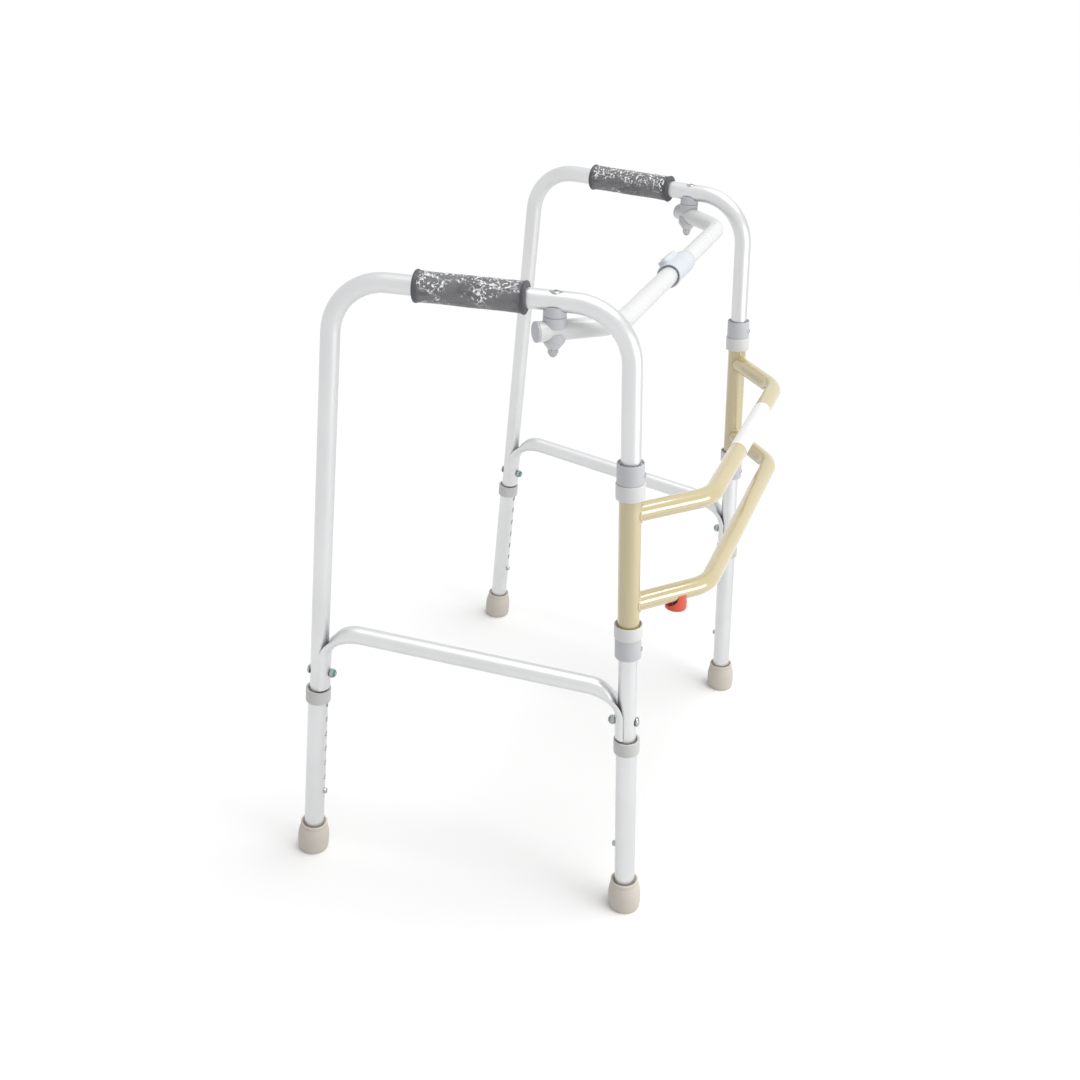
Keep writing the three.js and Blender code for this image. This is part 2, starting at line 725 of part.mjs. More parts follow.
// Button in the leg holes, with a flange behind the wall and a folded leaf spring
function snapButton() {
  const inside = Math.sqrt(BORE_FLAT ** 2 - (SNAP_FLANGE_DIAMETER / 2) ** 2) - CLEARANCE;
  const back = inside - SNAP_FLANGE_THICKNESS;
  const tip = OUTER_TUBE_OD / 2 + SNAP_BUTTON_REACH;
  const radius = SNAP_BUTTON_DIAMETER / 2;
  const dome = HEAD_PROFILE_SHARES.slice(1).map(([r, z]) => [
    r * radius,
    tip - SNAP_BUTTON_REACH / 2 + (z * SNAP_BUTTON_REACH) / 2,
  ]);
  const flange = SNAP_FLANGE_DIAMETER / 2;
  const rows = [[0, back], [flange, back], [flange, inside], [radius, inside], ...dome, [0, tip]];
  const button = turned(rows, SMALL_SIDES).rotateX(-Math.PI / 2);
  return joined(button, leafSpring(back)).translate([0, 0, LOWEST_HOLE]);
}

// A leaf folded to a V, open toward the tube's upper end
function leafSpring(back) {
  const thick = SNAP_SPRING_THICKNESS;
  const length = SNAP_SPRING_LENGTH;
  const near = back + thick / 2;
  const far = near - SNAP_SPRING_OPENING;
  const foldAt = -length / 2 - thick;
  const outline = [
    [near, length / 2 - length / 4],
    [near, -length / 4],
    [near - thick, foldAt + thick],
    [near - 2 * thick, foldAt],
    [near - 3 * thick, foldAt],
    [near - 4 * thick, foldAt + thick],
    [far, length / 2],
    [far + thick, length / 2],
    [near - 3 * thick, foldAt + 2 * thick],
    [near - 2 * thick, foldAt + 2 * thick],
    [near - thick, -length / 4],
    [near - thick, length / 2 - length / 4],
  ];
  const shape = new THREE.Shape(outline.map(([y, z]) => new THREE.Vector2(y, z)));
  const leaf = new THREE.ExtrudeGeometry(shape, { depth: SNAP_SPRING_WIDTH, bevelEnabled: false });
  const turn = new THREE.Matrix4().makeBasis(Y_AXIS, Z_AXIS, X_AXIS);
  return leaf.applyMatrix4(turn).translate(-SNAP_SPRING_WIDTH / 2, 0, 0);
}

// A ring fixed to the leg, with its mouth turned away from the sleeve
function ring(closed, open) {
  const bore = boreRadius(TUBE_OD);
  return solidOf(turned([[bore, closed], ...mouthRows(bore, RING_DIAMETER, closed, open), [bore, closed]]));
}

// A cap steps in from the sleeve's outside to the leg tube, and its closed end bears on the ring
function pivotCap(closed, seat, open) {
  const wide = boreRadius(OUTER_TUBE_OD);
  const narrow = boreRadius(TUBE_OD);
  return solidOf(
    turned([
      [narrow, closed],
      ...mouthRows(wide, CAP_DIAMETER, closed, open),
      [wide, seat],
      [narrow, seat],
      [narrow, closed],
    ]),
  );
}

function upperCap() {
  return pivotCap(UPPER_CAP_TOP, SLEEVE_TOP + CLEARANCE, UPPER_CAP_BOTTOM);
}

function lowerCap() {
  return pivotCap(LOWER_CAP_BOTTOM, SLEEVE_BOTTOM - CLEARANCE, LOWER_CAP_TOP);
}

function sleeve() {
  return outerTube(SLEEVE_BOTTOM, SLEEVE_TOP);
}

// Front tubes run forward from the sleeves and across, coped to the sleeves at both ends
function frontTubeCorners(height) {
  const legBack = FRONT_LEAN * height;
  const corner = (side, x, y) => new THREE.Vector3(side * x, y, height);
  return [
    corner(1, HALF_TRACK, legBack),
    corner(1, HALF_TRACK - FRONT_CORNER_INSET, legBack - FRONT_REACH),
    corner(-1, HALF_TRACK - FRONT_CORNER_INSET, legBack - FRONT_REACH),
    corner(-1, HALF_TRACK, legBack),
  ];
}

function copes(height) {
  return [1, -1].map((side) => {
    const place = new THREE.Vector3(side * HALF_TRACK, FRONT_LEAN * height, height);
    return rodAlong(place, FOLD_AXIS, OUTER_TUBE_OD + 2 * CLEARANCE, OUTER_TUBE_OD, OUTER_TUBE_OD);
  });
}

function frontTube(height, ...holes) {
  const path = bentPath(frontTubeCorners(height), FRONT_BEND_RADIUS);
  return without(solidOf(hollowTube(path)), ...copes(height), ...holes);
}

// Saddles hug the rail above and the bar below, and turn on each other between them
const TURNING_PLANE = RAIL_HEIGHT - BAR_DROP / 2;

function seatCut(direction, height) {
  const place = new THREE.Vector3(RAIL_PIVOT.x, RAIL_PIVOT.y, height);
  const diameter = 2 * boreRadius(TUBE_OD, TUBE_SIDES);
  return rodAlong(place, direction, diameter, SADDLE_DIAMETER, SADDLE_DIAMETER);
}

function saddle(rows, direction, height) {
  const blank = turned([[0, rows[0][1]], ...rows, [0, rows[rows.length - 1][1]]]);
  blank.translate(RAIL_PIVOT.x, RAIL_PIVOT.y, 0);
  return without(solidOf(blank), seatCut(direction, height), pivotHole());
}

function railSaddle() {
  const radius = SADDLE_DIAMETER / 2;
  const rows = [[radius, TURNING_PLANE + CLEARANCE / 2], [radius, RAIL_HEIGHT - SADDLE_SHORTFALL]];
  return saddle(rows, RAIL_DIRECTION, RAIL_PIVOT.z);
}

function barSaddle() {
  const radius = SADDLE_DIAMETER / 2;
  const rows = [[radius, BAR_HEIGHT + SADDLE_SHORTFALL], [radius, TURNING_PLANE - CLEARANCE / 2]];
  return saddle(rows, ARM_DIRECTION, BAR_HEIGHT);
}

// The lower saddle narrows below the bar to the seat of the acorn nut
const UNDER_BAR = BAR_HEIGHT - TUBE_OD / 2 - CLEARANCE;
const LOWER_SADDLE_BASE = UNDER_BAR - LOWER_SADDLE_FLOOR;

function lowerSaddle() {
  const radius = SADDLE_DIAMETER / 2;
  const rows = [
    [radius * LOWER_SADDLE_BASE_SHARE, LOWER_SADDLE_BASE],
    [radius, UNDER_BAR],
    [radius, BAR_HEIGHT - SADDLE_SHORTFALL],
  ];
  return saddle(rows, ARM_DIRECTION, BAR_HEIGHT);
}

const ACORN_SEAT = LOWER_SADDLE_BASE - CLEARANCE;

function acornNut() {
  const half = ACORN_HEIGHT / 2;
  const dome = HEAD_PROFILE_SHARES.map(([r, z]) => [(r * NUT_FLATS) / 2, half + z * half]);
  const body = joined(
    hexagon(0, half),
    turned([[0, half / 2], [NUT_FLATS / 2, half / 2], ...dome, [0, ACORN_HEIGHT]], SMALL_SIDES),
  );
  const blind = rod(BOLT_HOLE, -OVERRUN, ACORN_HEIGHT - 2 * BOLT_END, HOLE_SIDES);
  return without(body, blind)
    .rotate([180, 0, 0])
    .translate([RAIL_PIVOT.x, RAIL_PIVOT.y, ACORN_SEAT]);
}

function pivotBolt() {
  const shank = HEAD_SEAT - ACORN_SEAT + ACORN_HEIGHT - 2 * BOLT_END - CLEARANCE;
  return solidOf(bolt(shank).translate(RAIL_PIVOT.x, RAIL_PIVOT.y, HEAD_SEAT));
}

const BAR_TAIL_END = BAR_PIVOT.clone().addScaledVector(ARM_DIRECTION, BAR_TAIL);

function barHalf() {
  const middle = new THREE.Vector3(BAR_END_GAP / 2, BAR_CROSSING, BAR_HEIGHT);
  const path = bentPath([BAR_TAIL_END, BAR_BEND, middle], BAR_BEND_RADIUS);
  return without(solidOf(hollowTube(path)), pivotHole());
}

function barPlug() {
  const stem = BORE_FLAT - CLEARANCE;
  const outer = TUBE_OD / 2;
  const rows = [
    [0, -PLUG_STEM],
    [stem - RING_EDGE / 2, -PLUG_STEM],
    [stem, RING_EDGE / 2 - PLUG_STEM],
    [stem, CLEARANCE],
    [outer, CLEARANCE],
    [outer, PLUG_HEAD / 2],
    [outer - RING_EDGE, PLUG_HEAD],
    [0, PLUG_HEAD],
  ];
  const turn = new THREE.Quaternion().setFromUnitVectors(Z_AXIS, ARM_DIRECTION);
  return solidOf(turned(rows, TUBE_SIDES).applyQuaternion(turn).translate(...BAR_TAIL_END.toArray()));
}

// A slab with round ends, long in X, standing between two heights
function stadium(length, width, low, high, bevel = 0) {
  const radius = width / 2;
  const half = length / 2 - radius;
  const shape = new THREE.Shape();
  shape.absarc(half, 0, radius - bevel, -Math.PI / 2, Math.PI / 2, false);
  shape.absarc(-half, 0, radius - bevel, Math.PI / 2, (3 * Math.PI) / 2, false);
  const options = {
    depth: high - low - 2 * bevel,
    bevelEnabled: bevel > 0,
    bevelSize: bevel,
    bevelThickness: bevel,
    bevelSegments: 1,
    curveSegments: ROUND_END_STEPS,
  };
  return new THREE.ExtrudeGeometry(shape, options).translate(HUMP_MIDDLE, 0, low + bevel);
}

const HUMP_TOP = COUPLING_DIAMETER / 2 + HUMP_HEIGHT;

// Coupling along X, its hump first drawn straight up and then turned toward the user
function turnedToUser(solid) {
  return solid.rotate([-HUMP_TURN_DEGREES, 0, 0]).translate([0, BAR_CROSSING, BAR_HEIGHT]);
}

function coupling() {
  const outer = COUPLING_DIAMETER / 2;
  const lip = COUPLING_LIP_DIAMETER / 2;
  const rows = [
    [0, -COUPLING_NEAR],
    [lip - RING_EDGE, -COUPLING_NEAR],
    [lip, RING_EDGE - COUPLING_NEAR],
    [lip, COUPLING_LIP - COUPLING_NEAR],
    [outer, COUPLING_LIP + RING_EDGE - COUPLING_NEAR],
    [outer, COUPLING_FAR - 2 * COUPLING_LIP],
    [outer * COUPLING_TAPER_SHARE, COUPLING_FAR],
    [0, COUPLING_FAR],
  ];
  const body = turned(rows).rotateY(Math.PI / 2);
  const hump = stadium(HUMP_LENGTH, HUMP_WIDTH, 0, HUMP_TOP, HUMP_BEVEL);
  const boreDiameter = 2 * boreRadius(TUBE_OD, TUBE_SIDES);
  const bore = rod(boreDiameter, -2 * COUPLING_FAR, 2 * COUPLING_FAR).rotateY(Math.PI / 2);
  const well = stadium(THUMB_LENGTH, THUMB_WIDTH, HUMP_TOP - THUMB_DEPTH, HUMP_TOP + OVERRUN);
  return turnedToUser(without(joined(body, hump), bore, well));
}

function couplingButton() {
  const slack = 2 * CLEARANCE;
  const bottom = HUMP_TOP - THUMB_DEPTH + THUMB_TRAVEL + CLEARANCE;
  const top = HUMP_TOP + THUMB_PROUD;
  const body = stadium(THUMB_LENGTH - slack, THUMB_WIDTH - slack, bottom, top, THUMB_PROUD);
  const slot = new THREE.BoxGeometry(THUMB_SLOT_LENGTH, THUMB_SLOT_WIDTH, 2 * THUMB_SLOT_DEPTH);
  slot.translate(HUMP_MIDDLE, 0, top);
  return turnedToUser(without(solidOf(body), slot));
}

// Red button: a cap that straddles the tube, its stem in a hole in the tube's underside
const RED_ARM = frontTubeCorners(FRONT_LOWER_HEIGHT)[2]
  .clone()
  .sub(frontTubeCorners(FRONT_LOWER_HEIGHT)[3])
  .normalize();
const RED_PLACE = frontTubeCorners(FRONT_LOWER_HEIGHT)[3]
  .clone()
  .addScaledVector(RED_ARM, RED_FROM_LEG / RED_ARM.x);
const RED_SEAT = TUBE_OD / 2 + CLEARANCE + RED_TRAVEL + CLEARANCE;
const RED_FRAME = new THREE.Matrix4().compose(
  RED_PLACE,
  new THREE.Quaternion().setFromUnitVectors(X_AXIS, RED_ARM),
  new THREE.Vector3(1, 1, 1),
);

function redStemHole() {
  const diameter = 2 * boreRadius(RED_STEM_DIAMETER, HOLE_SIDES);
  return rod(diameter, -TUBE_OD, 0, HOLE_SIDES).applyMatrix4(RED_FRAME);
}

function redButton() {
  const radius = RED_DIAMETER / 2;
  const base = -TUBE_OD / 2 - RED_BELOW_TUBE;
  const width = TUBE_OD + 2 * CLEARANCE;
  const rows = [[0, base], [radius - RING_EDGE, base], [radius, base + RING_EDGE], [radius, 0], [0, 0]];
  const dropped = RED_TRAVEL + CLEARANCE;
  const along = new THREE.Vector3(0, 0, -dropped);
  const trough = rodAlong(along, X_AXIS, width, RED_DIAMETER, RED_DIAMETER);
  const slot = new THREE.BoxGeometry(2 * RED_DIAMETER, width, dropped + OVERRUN);
  slot.translate(0, 0, OVERRUN / 2 - dropped / 2);
  const stem = rod(RED_STEM_DIAMETER, base + RING_EDGE, RED_STEM_HEIGHT - RED_SEAT, HOLE_SIDES);
  const pocket = rod(COIL_DIAMETER + 2 * CLEARANCE, -RED_SEAT - RED_POCKET, 0);
  const cap = without(solidOf(turned(rows)), trough, slot, pocket);
  return cap.add(solidOf(stem)).transform(RED_FRAME.elements);
}

// Return spring coiled round the stem, between the cap's floor and the tube
function redSpring() {
  const stations = COIL_TURNS * COIL_STEPS;
  const radius = COIL_DIAMETER / 2 - COIL_WIRE / 2;
  const low = -RED_SEAT - RED_POCKET + CLEARANCE + COIL_WIRE / 2;
  const high = -TUBE_OD / 2 - CLEARANCE - COIL_WIRE / 2;
  const points = [];
  const tangents = [];
  for (let k = 0; k <= stations; k += 1) {
    const angle = (2 * Math.PI * k) / COIL_STEPS;
    const rise = (high - low) / (2 * Math.PI * COIL_TURNS);
    points.push(
      new THREE.Vector3(radius * Math.cos(angle), radius * Math.sin(angle), low + rise * angle),
    );
    tangents.push(
      new THREE.Vector3(-radius * Math.sin(angle), radius * Math.cos(angle), rise).normalize(),
    );
  }
  const path = new StationPath(points, tangents);
  const wire = new THREE.ExtrudeGeometry(polygon(THREE.Shape, COIL_WIRE / 2, COIL_SIDES), {
    steps: stations,
    extrudePath: path,
  });
  return solidOf(wire.applyMatrix4(RED_FRAME));
}

// One leg's moving lower end and its fasteners, in the leg's frame
function legMembers(side, end) {
  const leg = LEGS[end];
  const label = (piece) => side + "_" + end + "_" + piece;
  return placed(
    leg.frame,
    group(
      label("leg"),
      named(label("lower_leg"), lowerLeg(leg), aluminium()),
      named(label("collar"), collar(leg), greyPlastic()),
      named(label("foot"), foot(leg), footRubber()),
      named(label("snap_button"), snapButton(), zincSteel()),
      named(label("brace_bolt"), braceBolt(leg), zincSteel()),
      named(label("brace_nut"), braceNut(leg), zincSteel()),
    ),
  );
}

function sideMembers(side) {
  const label = (piece) => side + "_" + piece;
  const rings = placed(
    FRONT_LEG_FRAME,
    group(
      label("rings"),
      named(label("upper_ring"), ring(UPPER_RING_BOTTOM, UPPER_RING_TOP), greyPlastic()),
      named(label("lower_ring"), ring(LOWER_RING_TOP, LOWER_RING_BOTTOM), greyPlastic()),
    ),
  );
  return placed(
    SIDE_FRAME,
    group(
      label("side_frame"),
      named(label("side_tube"), sideTube(), aluminium()),
      named(label("grip"), grip(), gripVinyl()),
      named(label("brace"), brace(), aluminium()),
      legMembers(side, "front"),
      legMembers(side, "rear"),
      rings,
    ),
  );
}

function columnMembers(side) {
  const label = (piece) => side + "_" + piece;
  return placed(
    COLUMN_FRAME,
    group(
      label("column"),
      named(label("sleeve"), sleeve(), enamel()),
      named(label("upper_cap"), upperCap(), greyPlastic()),
      named(label("lower_cap"), lowerCap(), greyPlastic()),
    ),
  );
}

function swingMembers(side) {
  const label = (piece) => side + "_" + piece;
  return group(
    label("swing"),
    named(label("pivot_bolt"), pivotBolt(), zincSteel()),
    named(label("rail_saddle"), railSaddle(), greyPlastic()),
    named(label("bar_saddle"), barSaddle(), greyPlastic()),
    named(label("lower_saddle"), lowerSaddle(), greyPlastic()),
    named(label("acorn_nut"), acornNut(), zincSteel()),
    named(label("bar_half"), barHalf(), whitePaint()),
    named(label("bar_plug"), barPlug(), greyPlastic()),
  );
}

function wholeSide(side, hand) {
  const made = group(side, sideMembers(side), columnMembers(side), swingMembers(side));
  made.scale.x = hand;
  return made;
}

function centreMembers() {
  const lowerTube = frontTube(FRONT_LOWER_HEIGHT, redStemHole());
  return group(
    "centre",
    named("front_upper_tube", frontTube(FRONT_UPPER_HEIGHT), enamel()),
    named("front_lower_tube", lowerTube, enamel()),
    named("coupling", coupling(), paleBluePlastic()),
    named("coupling_button", couplingButton(), paleBluePlastic()),
    named("red_button", redButton(), redPlastic()),
    named("red_button_spring", redSpring(), springSteel()),
  );
}

// The finished walker stands with the middle of its box over the origin
const walker = group("walker", wholeSide("left", 1), wholeSide("right", -1), centreMembers());
const box = new THREE.Box3().setFromObject(walker, true);
walker.position.set(0, -(box.min.y + box.max.y) / 2, 0);

export default walker;
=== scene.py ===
# %% [markdown]
# # A folding walker, dressed over its engineering model
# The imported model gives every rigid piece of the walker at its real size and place. This notebook builds
# the smooth, finished surfaces over it: drawn aluminium tubes, enamelled front tubes, moulded plastics,
# rubber and film. Each visible piece stands for the faceted piece it covers and moves with the same body.

# %% Load the frame and keep its box
import bpy
import bmesh
import json
import math
from mathutils import Matrix, Vector


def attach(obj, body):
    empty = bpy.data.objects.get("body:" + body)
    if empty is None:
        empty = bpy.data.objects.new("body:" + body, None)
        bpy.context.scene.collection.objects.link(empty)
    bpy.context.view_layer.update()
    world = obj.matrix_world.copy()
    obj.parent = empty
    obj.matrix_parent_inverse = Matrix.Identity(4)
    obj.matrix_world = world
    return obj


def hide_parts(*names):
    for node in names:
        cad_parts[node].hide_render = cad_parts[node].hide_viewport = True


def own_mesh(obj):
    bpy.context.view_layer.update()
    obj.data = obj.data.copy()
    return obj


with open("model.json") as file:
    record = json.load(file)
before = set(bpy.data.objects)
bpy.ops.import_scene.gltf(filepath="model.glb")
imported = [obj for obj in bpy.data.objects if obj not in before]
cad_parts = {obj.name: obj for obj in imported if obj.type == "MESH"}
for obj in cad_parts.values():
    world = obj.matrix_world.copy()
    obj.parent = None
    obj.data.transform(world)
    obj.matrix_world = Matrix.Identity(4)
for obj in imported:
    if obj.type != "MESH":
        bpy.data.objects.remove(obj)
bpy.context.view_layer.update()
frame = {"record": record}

# %% [markdown]
# ## Sizes
# The model is drawn in millimetres and Blender works in metres, so every size below is written in
# millimetres and passed through one short function. The walker's own middle lies at Y zero; the drawing's
# zero is the front feet, so the shift between the two is measured from the frame instead of typed. Profiles
# and cutters are listed in plain millimetres, and the functions that build them do the conversion.

# %% Named sizes
def mm(value):
    return value / 1000


TUBE = mm(22.2) / 2
TUBE_BORE = TUBE - mm(1.3)
OUTER_TUBE = mm(25.4) / 2
OUTER_BORE = TUBE + mm(0.3)
GAP = mm(0.3)
HALF_TRACK = mm(272)
SPLAY = math.radians(8.2)
FRONT_LEAN, REAR_LEAN = 0.0664, 0.058
RAIL_Z, REAR_BACK = mm(785.6), mm(422.595)
BAR_Z = RAIL_Z - mm(32)
HOLES, HOLE_PITCH, LOWEST_HOLE = 7, mm(23), mm(96)
BRACE_BOLT_Z, STRAP = mm(282), mm(3.2)
UPPER_TUBE_Z, LOWER_TUBE_Z = mm(554), mm(441)
BEND_OUT, BEND_AHEAD = mm(188), mm(71.6)
BAR_BACK = mm(76.97)
SIDES = 48

# Radii of profiles and cutters, in millimetres.
TUBE_SEAT, BOLT_HOLE, SNAP_HOLE = 11.4, 3.3, 4.0

fold_pos = next(j for j in frame["record"]["behaviour"]["joints"] if j["name"] == "left_fold")["pos_m"]
SHIFT = fold_pos[1]
print("front foot axis at y =", round(SHIFT, 5))

# %% [markdown]
# ## Frames of reference
# A side of the walker is flat: its legs, rail and brace lie in one plane. That plane is turned outward
# about the front leg, which is also the axis it folds about. So each side is drawn once in its own plane
# and placed by a matrix, and each leg has a matrix too, with Z up the leg and Y toward the other leg. The
# right side is the mirror of the left; a mirroring matrix turns faces inside out, so the placing function
# turns them back.

# %% Placing matrices
FRONT_ANGLE, REAR_ANGLE = math.atan(FRONT_LEAN), math.atan(REAR_LEAN)
FOLD_AXIS = Vector((0, math.sin(FRONT_ANGLE), math.cos(FRONT_ANGLE)))
WALKER = Matrix.Translation((0, SHIFT, 0))
SIDE = WALKER @ Matrix.Translation((HALF_TRACK, 0, 0)) @ Matrix.Rotation(-SPLAY, 4, FOLD_AXIS)
FRONT_LEG = Matrix.Rotation(-FRONT_ANGLE, 4, "X")
REAR_LEG = (Matrix.Translation((0, REAR_BACK, 0)) @ Matrix.Rotation(REAR_ANGLE, 4, "X")
            @ Matrix.Rotation(math.pi, 4, "Z"))
COLUMN = WALKER @ Matrix.Translation((HALF_TRACK, 0, 0)) @ FRONT_LEG
LEGS = {"front": SIDE @ FRONT_LEG, "rear": SIDE @ REAR_LEG}
MIRROR = Matrix.Diagonal((-1, 1, 1, 1))
HANDS = {"left": Matrix.Identity(4), "right": MIRROR}


def side_point(back, height):
    return Vector((0, back, height))


def front_leg(height):
    return side_point(FRONT_LEAN * height, height)


def rear_leg(height):
    return side_point(REAR_BACK - REAR_LEAN * height, height)


PIVOT = SIDE @ side_point(mm(133.29), RAIL_Z)
BAR_PIVOT = Vector((PIVOT.x, PIVOT.y, BAR_Z))
BAR_BEND = WALKER @ Vector((mm(231.85), BAR_BACK, BAR_Z))
ARM = (BAR_PIVOT - BAR_BEND).normalized()
RAIL_WAY = (SIDE.to_3x3() @ Vector((0, 1, 0))).normalized()
PIVOT_XY = Matrix.Translation((PIVOT.x, PIVOT.y, 0))
print("rail pivot at", [round(v, 4) for v in PIVOT])

# %% [markdown]
# ## Small helpers for meshes
# Every piece ends as a plain mesh whose object stands at the origin, unturned and unscaled. `placed`
# applies a matrix to the vertices and repairs the faces after a mirror. `smooth` shades curved faces softly
# and keeps the machined edges crisp.

# %% Mesh helpers
def piece(name, mesh):
    made = bpy.data.objects.new(name, mesh)
    bpy.context.scene.collection.objects.link(made)
    return made


def smooth(made, angle=32):
    for polygon in made.data.polygons:
        polygon.use_smooth = True
    made.data.set_sharp_from_angle(angle=math.radians(angle))
    return made


def placed(made, matrix):
    made.data.transform(matrix)
    if matrix.determinant() < 0:
        made.data.flip_normals()
    made.data.update()
    return made


def edited(mesh, *edits):
    shell = bmesh.new()
    shell.from_mesh(mesh)
    for edit in edits:
        edit(shell)
    shell.to_mesh(mesh)
    shell.free()
    return mesh


def welded(shell):
    bmesh.ops.remove_doubles(shell, verts=shell.verts, dist=1e-7)


def turned_outward(shell):
    bmesh.ops.recalc_face_normals(shell, faces=shell.faces)


def closed(shell):
    """Welds the slivers that a boolean leaves and closes any facet that it drops."""
    bmesh.ops.remove_doubles(shell, verts=shell.verts, dist=1e-6)
    bmesh.ops.dissolve_degenerate(shell, edges=shell.edges, dist=1e-6)
    bmesh.ops.holes_fill(shell, edges=[e for e in shell.edges if e.is_boundary], sides=0)


def mesh_from(name, vertices, faces):
    mesh = bpy.data.meshes.new(name)
    mesh.from_pydata([tuple(v) for v in vertices], [], faces)
    return piece(name, edited(mesh, welded, turned_outward))


def turned(name, rows, sides=SIDES):
    """A closed body of revolution about Z from rows of (radius, height), in millimetres."""
    rings, vertices, faces = [], [], []
    for radius, height in rows:
        if radius == 0:
            rings.append([len(vertices)] * sides)
            vertices.append((0, 0, mm(height)))
            continue
        rings.append(list(range(len(vertices), len(vertices) + sides)))
        for k in range(sides):
            a = 2 * math.pi * k / sides
            vertices.append((mm(radius) * math.cos(a), mm(radius) * math.sin(a), mm(height)))
    looped = rows[0][0] != 0
    for i in range(len(rings) if looped else len(rings) - 1):
        low, high = rings[i], rings[(i + 1) % len(rings)]
        for k in range(sides):
            quad = [low[k], low[(k + 1) % sides], high[(k + 1) % sides], high[k]]
            face = list(dict.fromkeys(quad))
            if len(face) > 2:
                faces.append(face)
    return mesh_from(name, vertices, faces)


def rounded(corners, radius, steps=4):
    """Profile rows whose corners are eased by an arc, so that a moulded edge catches the light."""
    out = []
    for i, here in enumerate(corners):
        before, after = corners[i - 1], corners[(i + 1) % len(corners)]
        p, a, b = Vector(here), Vector(before), Vector(after)
        if here[0] == 0 or radius == 0:
            out.append(here)
            continue
        reach = min(radius, (a - p).length * 0.45, (b - p).length * 0.45)
        start, end = p + (a - p).normalized() * reach, p + (b - p).normalized() * reach
        for k in range(steps + 1):
            t = k / steps
            q = start * (1 - t) ** 2 + p * 2 * t * (1 - t) + end * t ** 2
            out.append((q.x, q.y))
    return out


def evaluated(made):
    bpy.context.view_layer.update()
    return bpy.data.meshes.new_from_object(made.evaluated_get(bpy.context.evaluated_depsgraph_get()))


def joined(made, *others, operation="UNION"):
    """A boolean with each other piece in turn, applied at once; the others are removed."""
    for other in others:
        step = made.modifiers.new("join", "BOOLEAN")
        step.operation, step.solver, step.object = operation, "EXACT", other
    mesh = evaluated(made)
    made.modifiers.clear()
    made.data = edited(mesh, closed)
    for other in others:
        bpy.data.objects.remove(other)
    return made


def cut(made, *cutters):
    return joined(made, *cutters, operation="DIFFERENCE")


def rod(radius, low, high, matrix=Matrix.Identity(4), sides=32):
    return placed(turned("rod", [(0, low), (radius, low), (radius, high), (0, high)], sides), matrix)


def aim(point, direction):
    """A matrix that carries Z onto a direction, from a point."""
    return Matrix.Translation(point) @ direction.to_track_quat("Z", "Y").to_matrix().to_4x4()

# %% [markdown]
# ## Shared surface effects
# Real surfaces are never one flat colour. Two effects are used by many finishes here: fine grain, the tiny
# variation that drawing, spraying or moulding leaves, and dulling, the soft cloudy change of gloss that
# handling leaves. Each is a node group that gives values only, so that every finish can use it with its own
# strength. The helpers before them keep the wiring short: `added` makes a node and feeds its sockets in one
# step.

# %% Effect groups
def added(tree, kind, feeds=None, **settings):
    """The outputs of a new node. `feeds` gives its sockets their values, or the outputs that feed them."""
    node = tree.nodes.new(kind)
    for label, value in settings.items():
        setattr(node, label, value)
    for label, value in (feeds or {}).items():
        if isinstance(value, bpy.types.NodeSocket):
            tree.links.new(value, node.inputs[label])
        else:
            node.inputs[label].default_value = value
    return node.outputs


def group_with(kind, name, inputs, outputs):
    """A node group, the outputs of its entry and the inputs of its exit."""
    tree = bpy.data.node_groups.new(name, kind)
    for way, sockets in (("OUTPUT", outputs), ("INPUT", inputs)):
        for label, (socket_kind, default) in sockets.items():
            socket = tree.interface.new_socket(label, in_out=way, socket_type="NodeSocket" + socket_kind)
            if default is not None:
                socket.default_value = default
    return tree, tree.nodes.new("NodeGroupInput").outputs, tree.nodes.new("NodeGroupOutput").inputs


def linked(tree, *pairs):
    for a, b in pairs:
        tree.links.new(a, b)


def noise_at(tree, source, scale, detail=3.0):
    feeds = {"Vector": source, "Scale": scale, "Detail": detail}
    return added(tree, "ShaderNodeTexNoise", feeds)["Fac"]


def combined(tree, operation, first, second=0.0, **settings):
    return added(tree, "ShaderNodeMath", {0: first, 1: second}, operation=operation, **settings)[0]


def object_place(tree):
    return tree.nodes.new("ShaderNodeTexCoord").outputs["Object"]


def ranged(tree, value, start, end, low, high):
    """Carries start to end onto low to high."""
    feeds = {"Value": value, "From Min": start, "From Max": end, "To Min": low, "To Max": high}
    return added(tree, "ShaderNodeMapRange", feeds)["Result"]


def fine_grain():
    group, given, out = group_with("ShaderNodeTree", "fine grain", {
        "Scale": ("Float", 900.0), "Depth": ("Float", 1.0)}, {"Height": ("Float", None)})
    grain = noise_at(group, object_place(group), given["Scale"], 2.0)
    linked(group, (combined(group, "MULTIPLY", grain, given["Depth"]), out["Height"]))
    return group


def handling():
    group, given, out = group_with("ShaderNodeTree", "handling", {
        "Scale": ("Float", 14.0), "Low": ("Float", 0.3), "High": ("Float", 0.45)},
        {"Gloss": ("Float", None), "Mask": ("Float", None)})
    cloud = noise_at(group, object_place(group), given["Scale"], 5.0)
    linked(group, (ranged(group, cloud, *CLOUD_SPAN, given["Low"], given["High"]), out["Gloss"]),
           (ranged(group, cloud, *CLOUD_SPAN, 0.0, 1.0), out["Mask"]))
    return group


CLOUD_SPAN = (0.25, 0.75)
GRAIN, HANDLING = fine_grain(), handling()
print("effect groups:", GRAIN.name, "and", HANDLING.name)

# %% [markdown]
# ## Finishes
# One function lays out the common wiring of a finish: the handling group varies the gloss and shifts the
# colour slightly between two close tones, and the grain group feeds a bump. What differs between enamel,
# rubber and zinc is then a short list of numbers, which keeps the finishes easy to compare.

# %% Finish builder
def spaced(named):
    """Socket names have spaces, which Python's keywords can't."""
    return {label.replace("_", " "): value for label, value in named.items()}


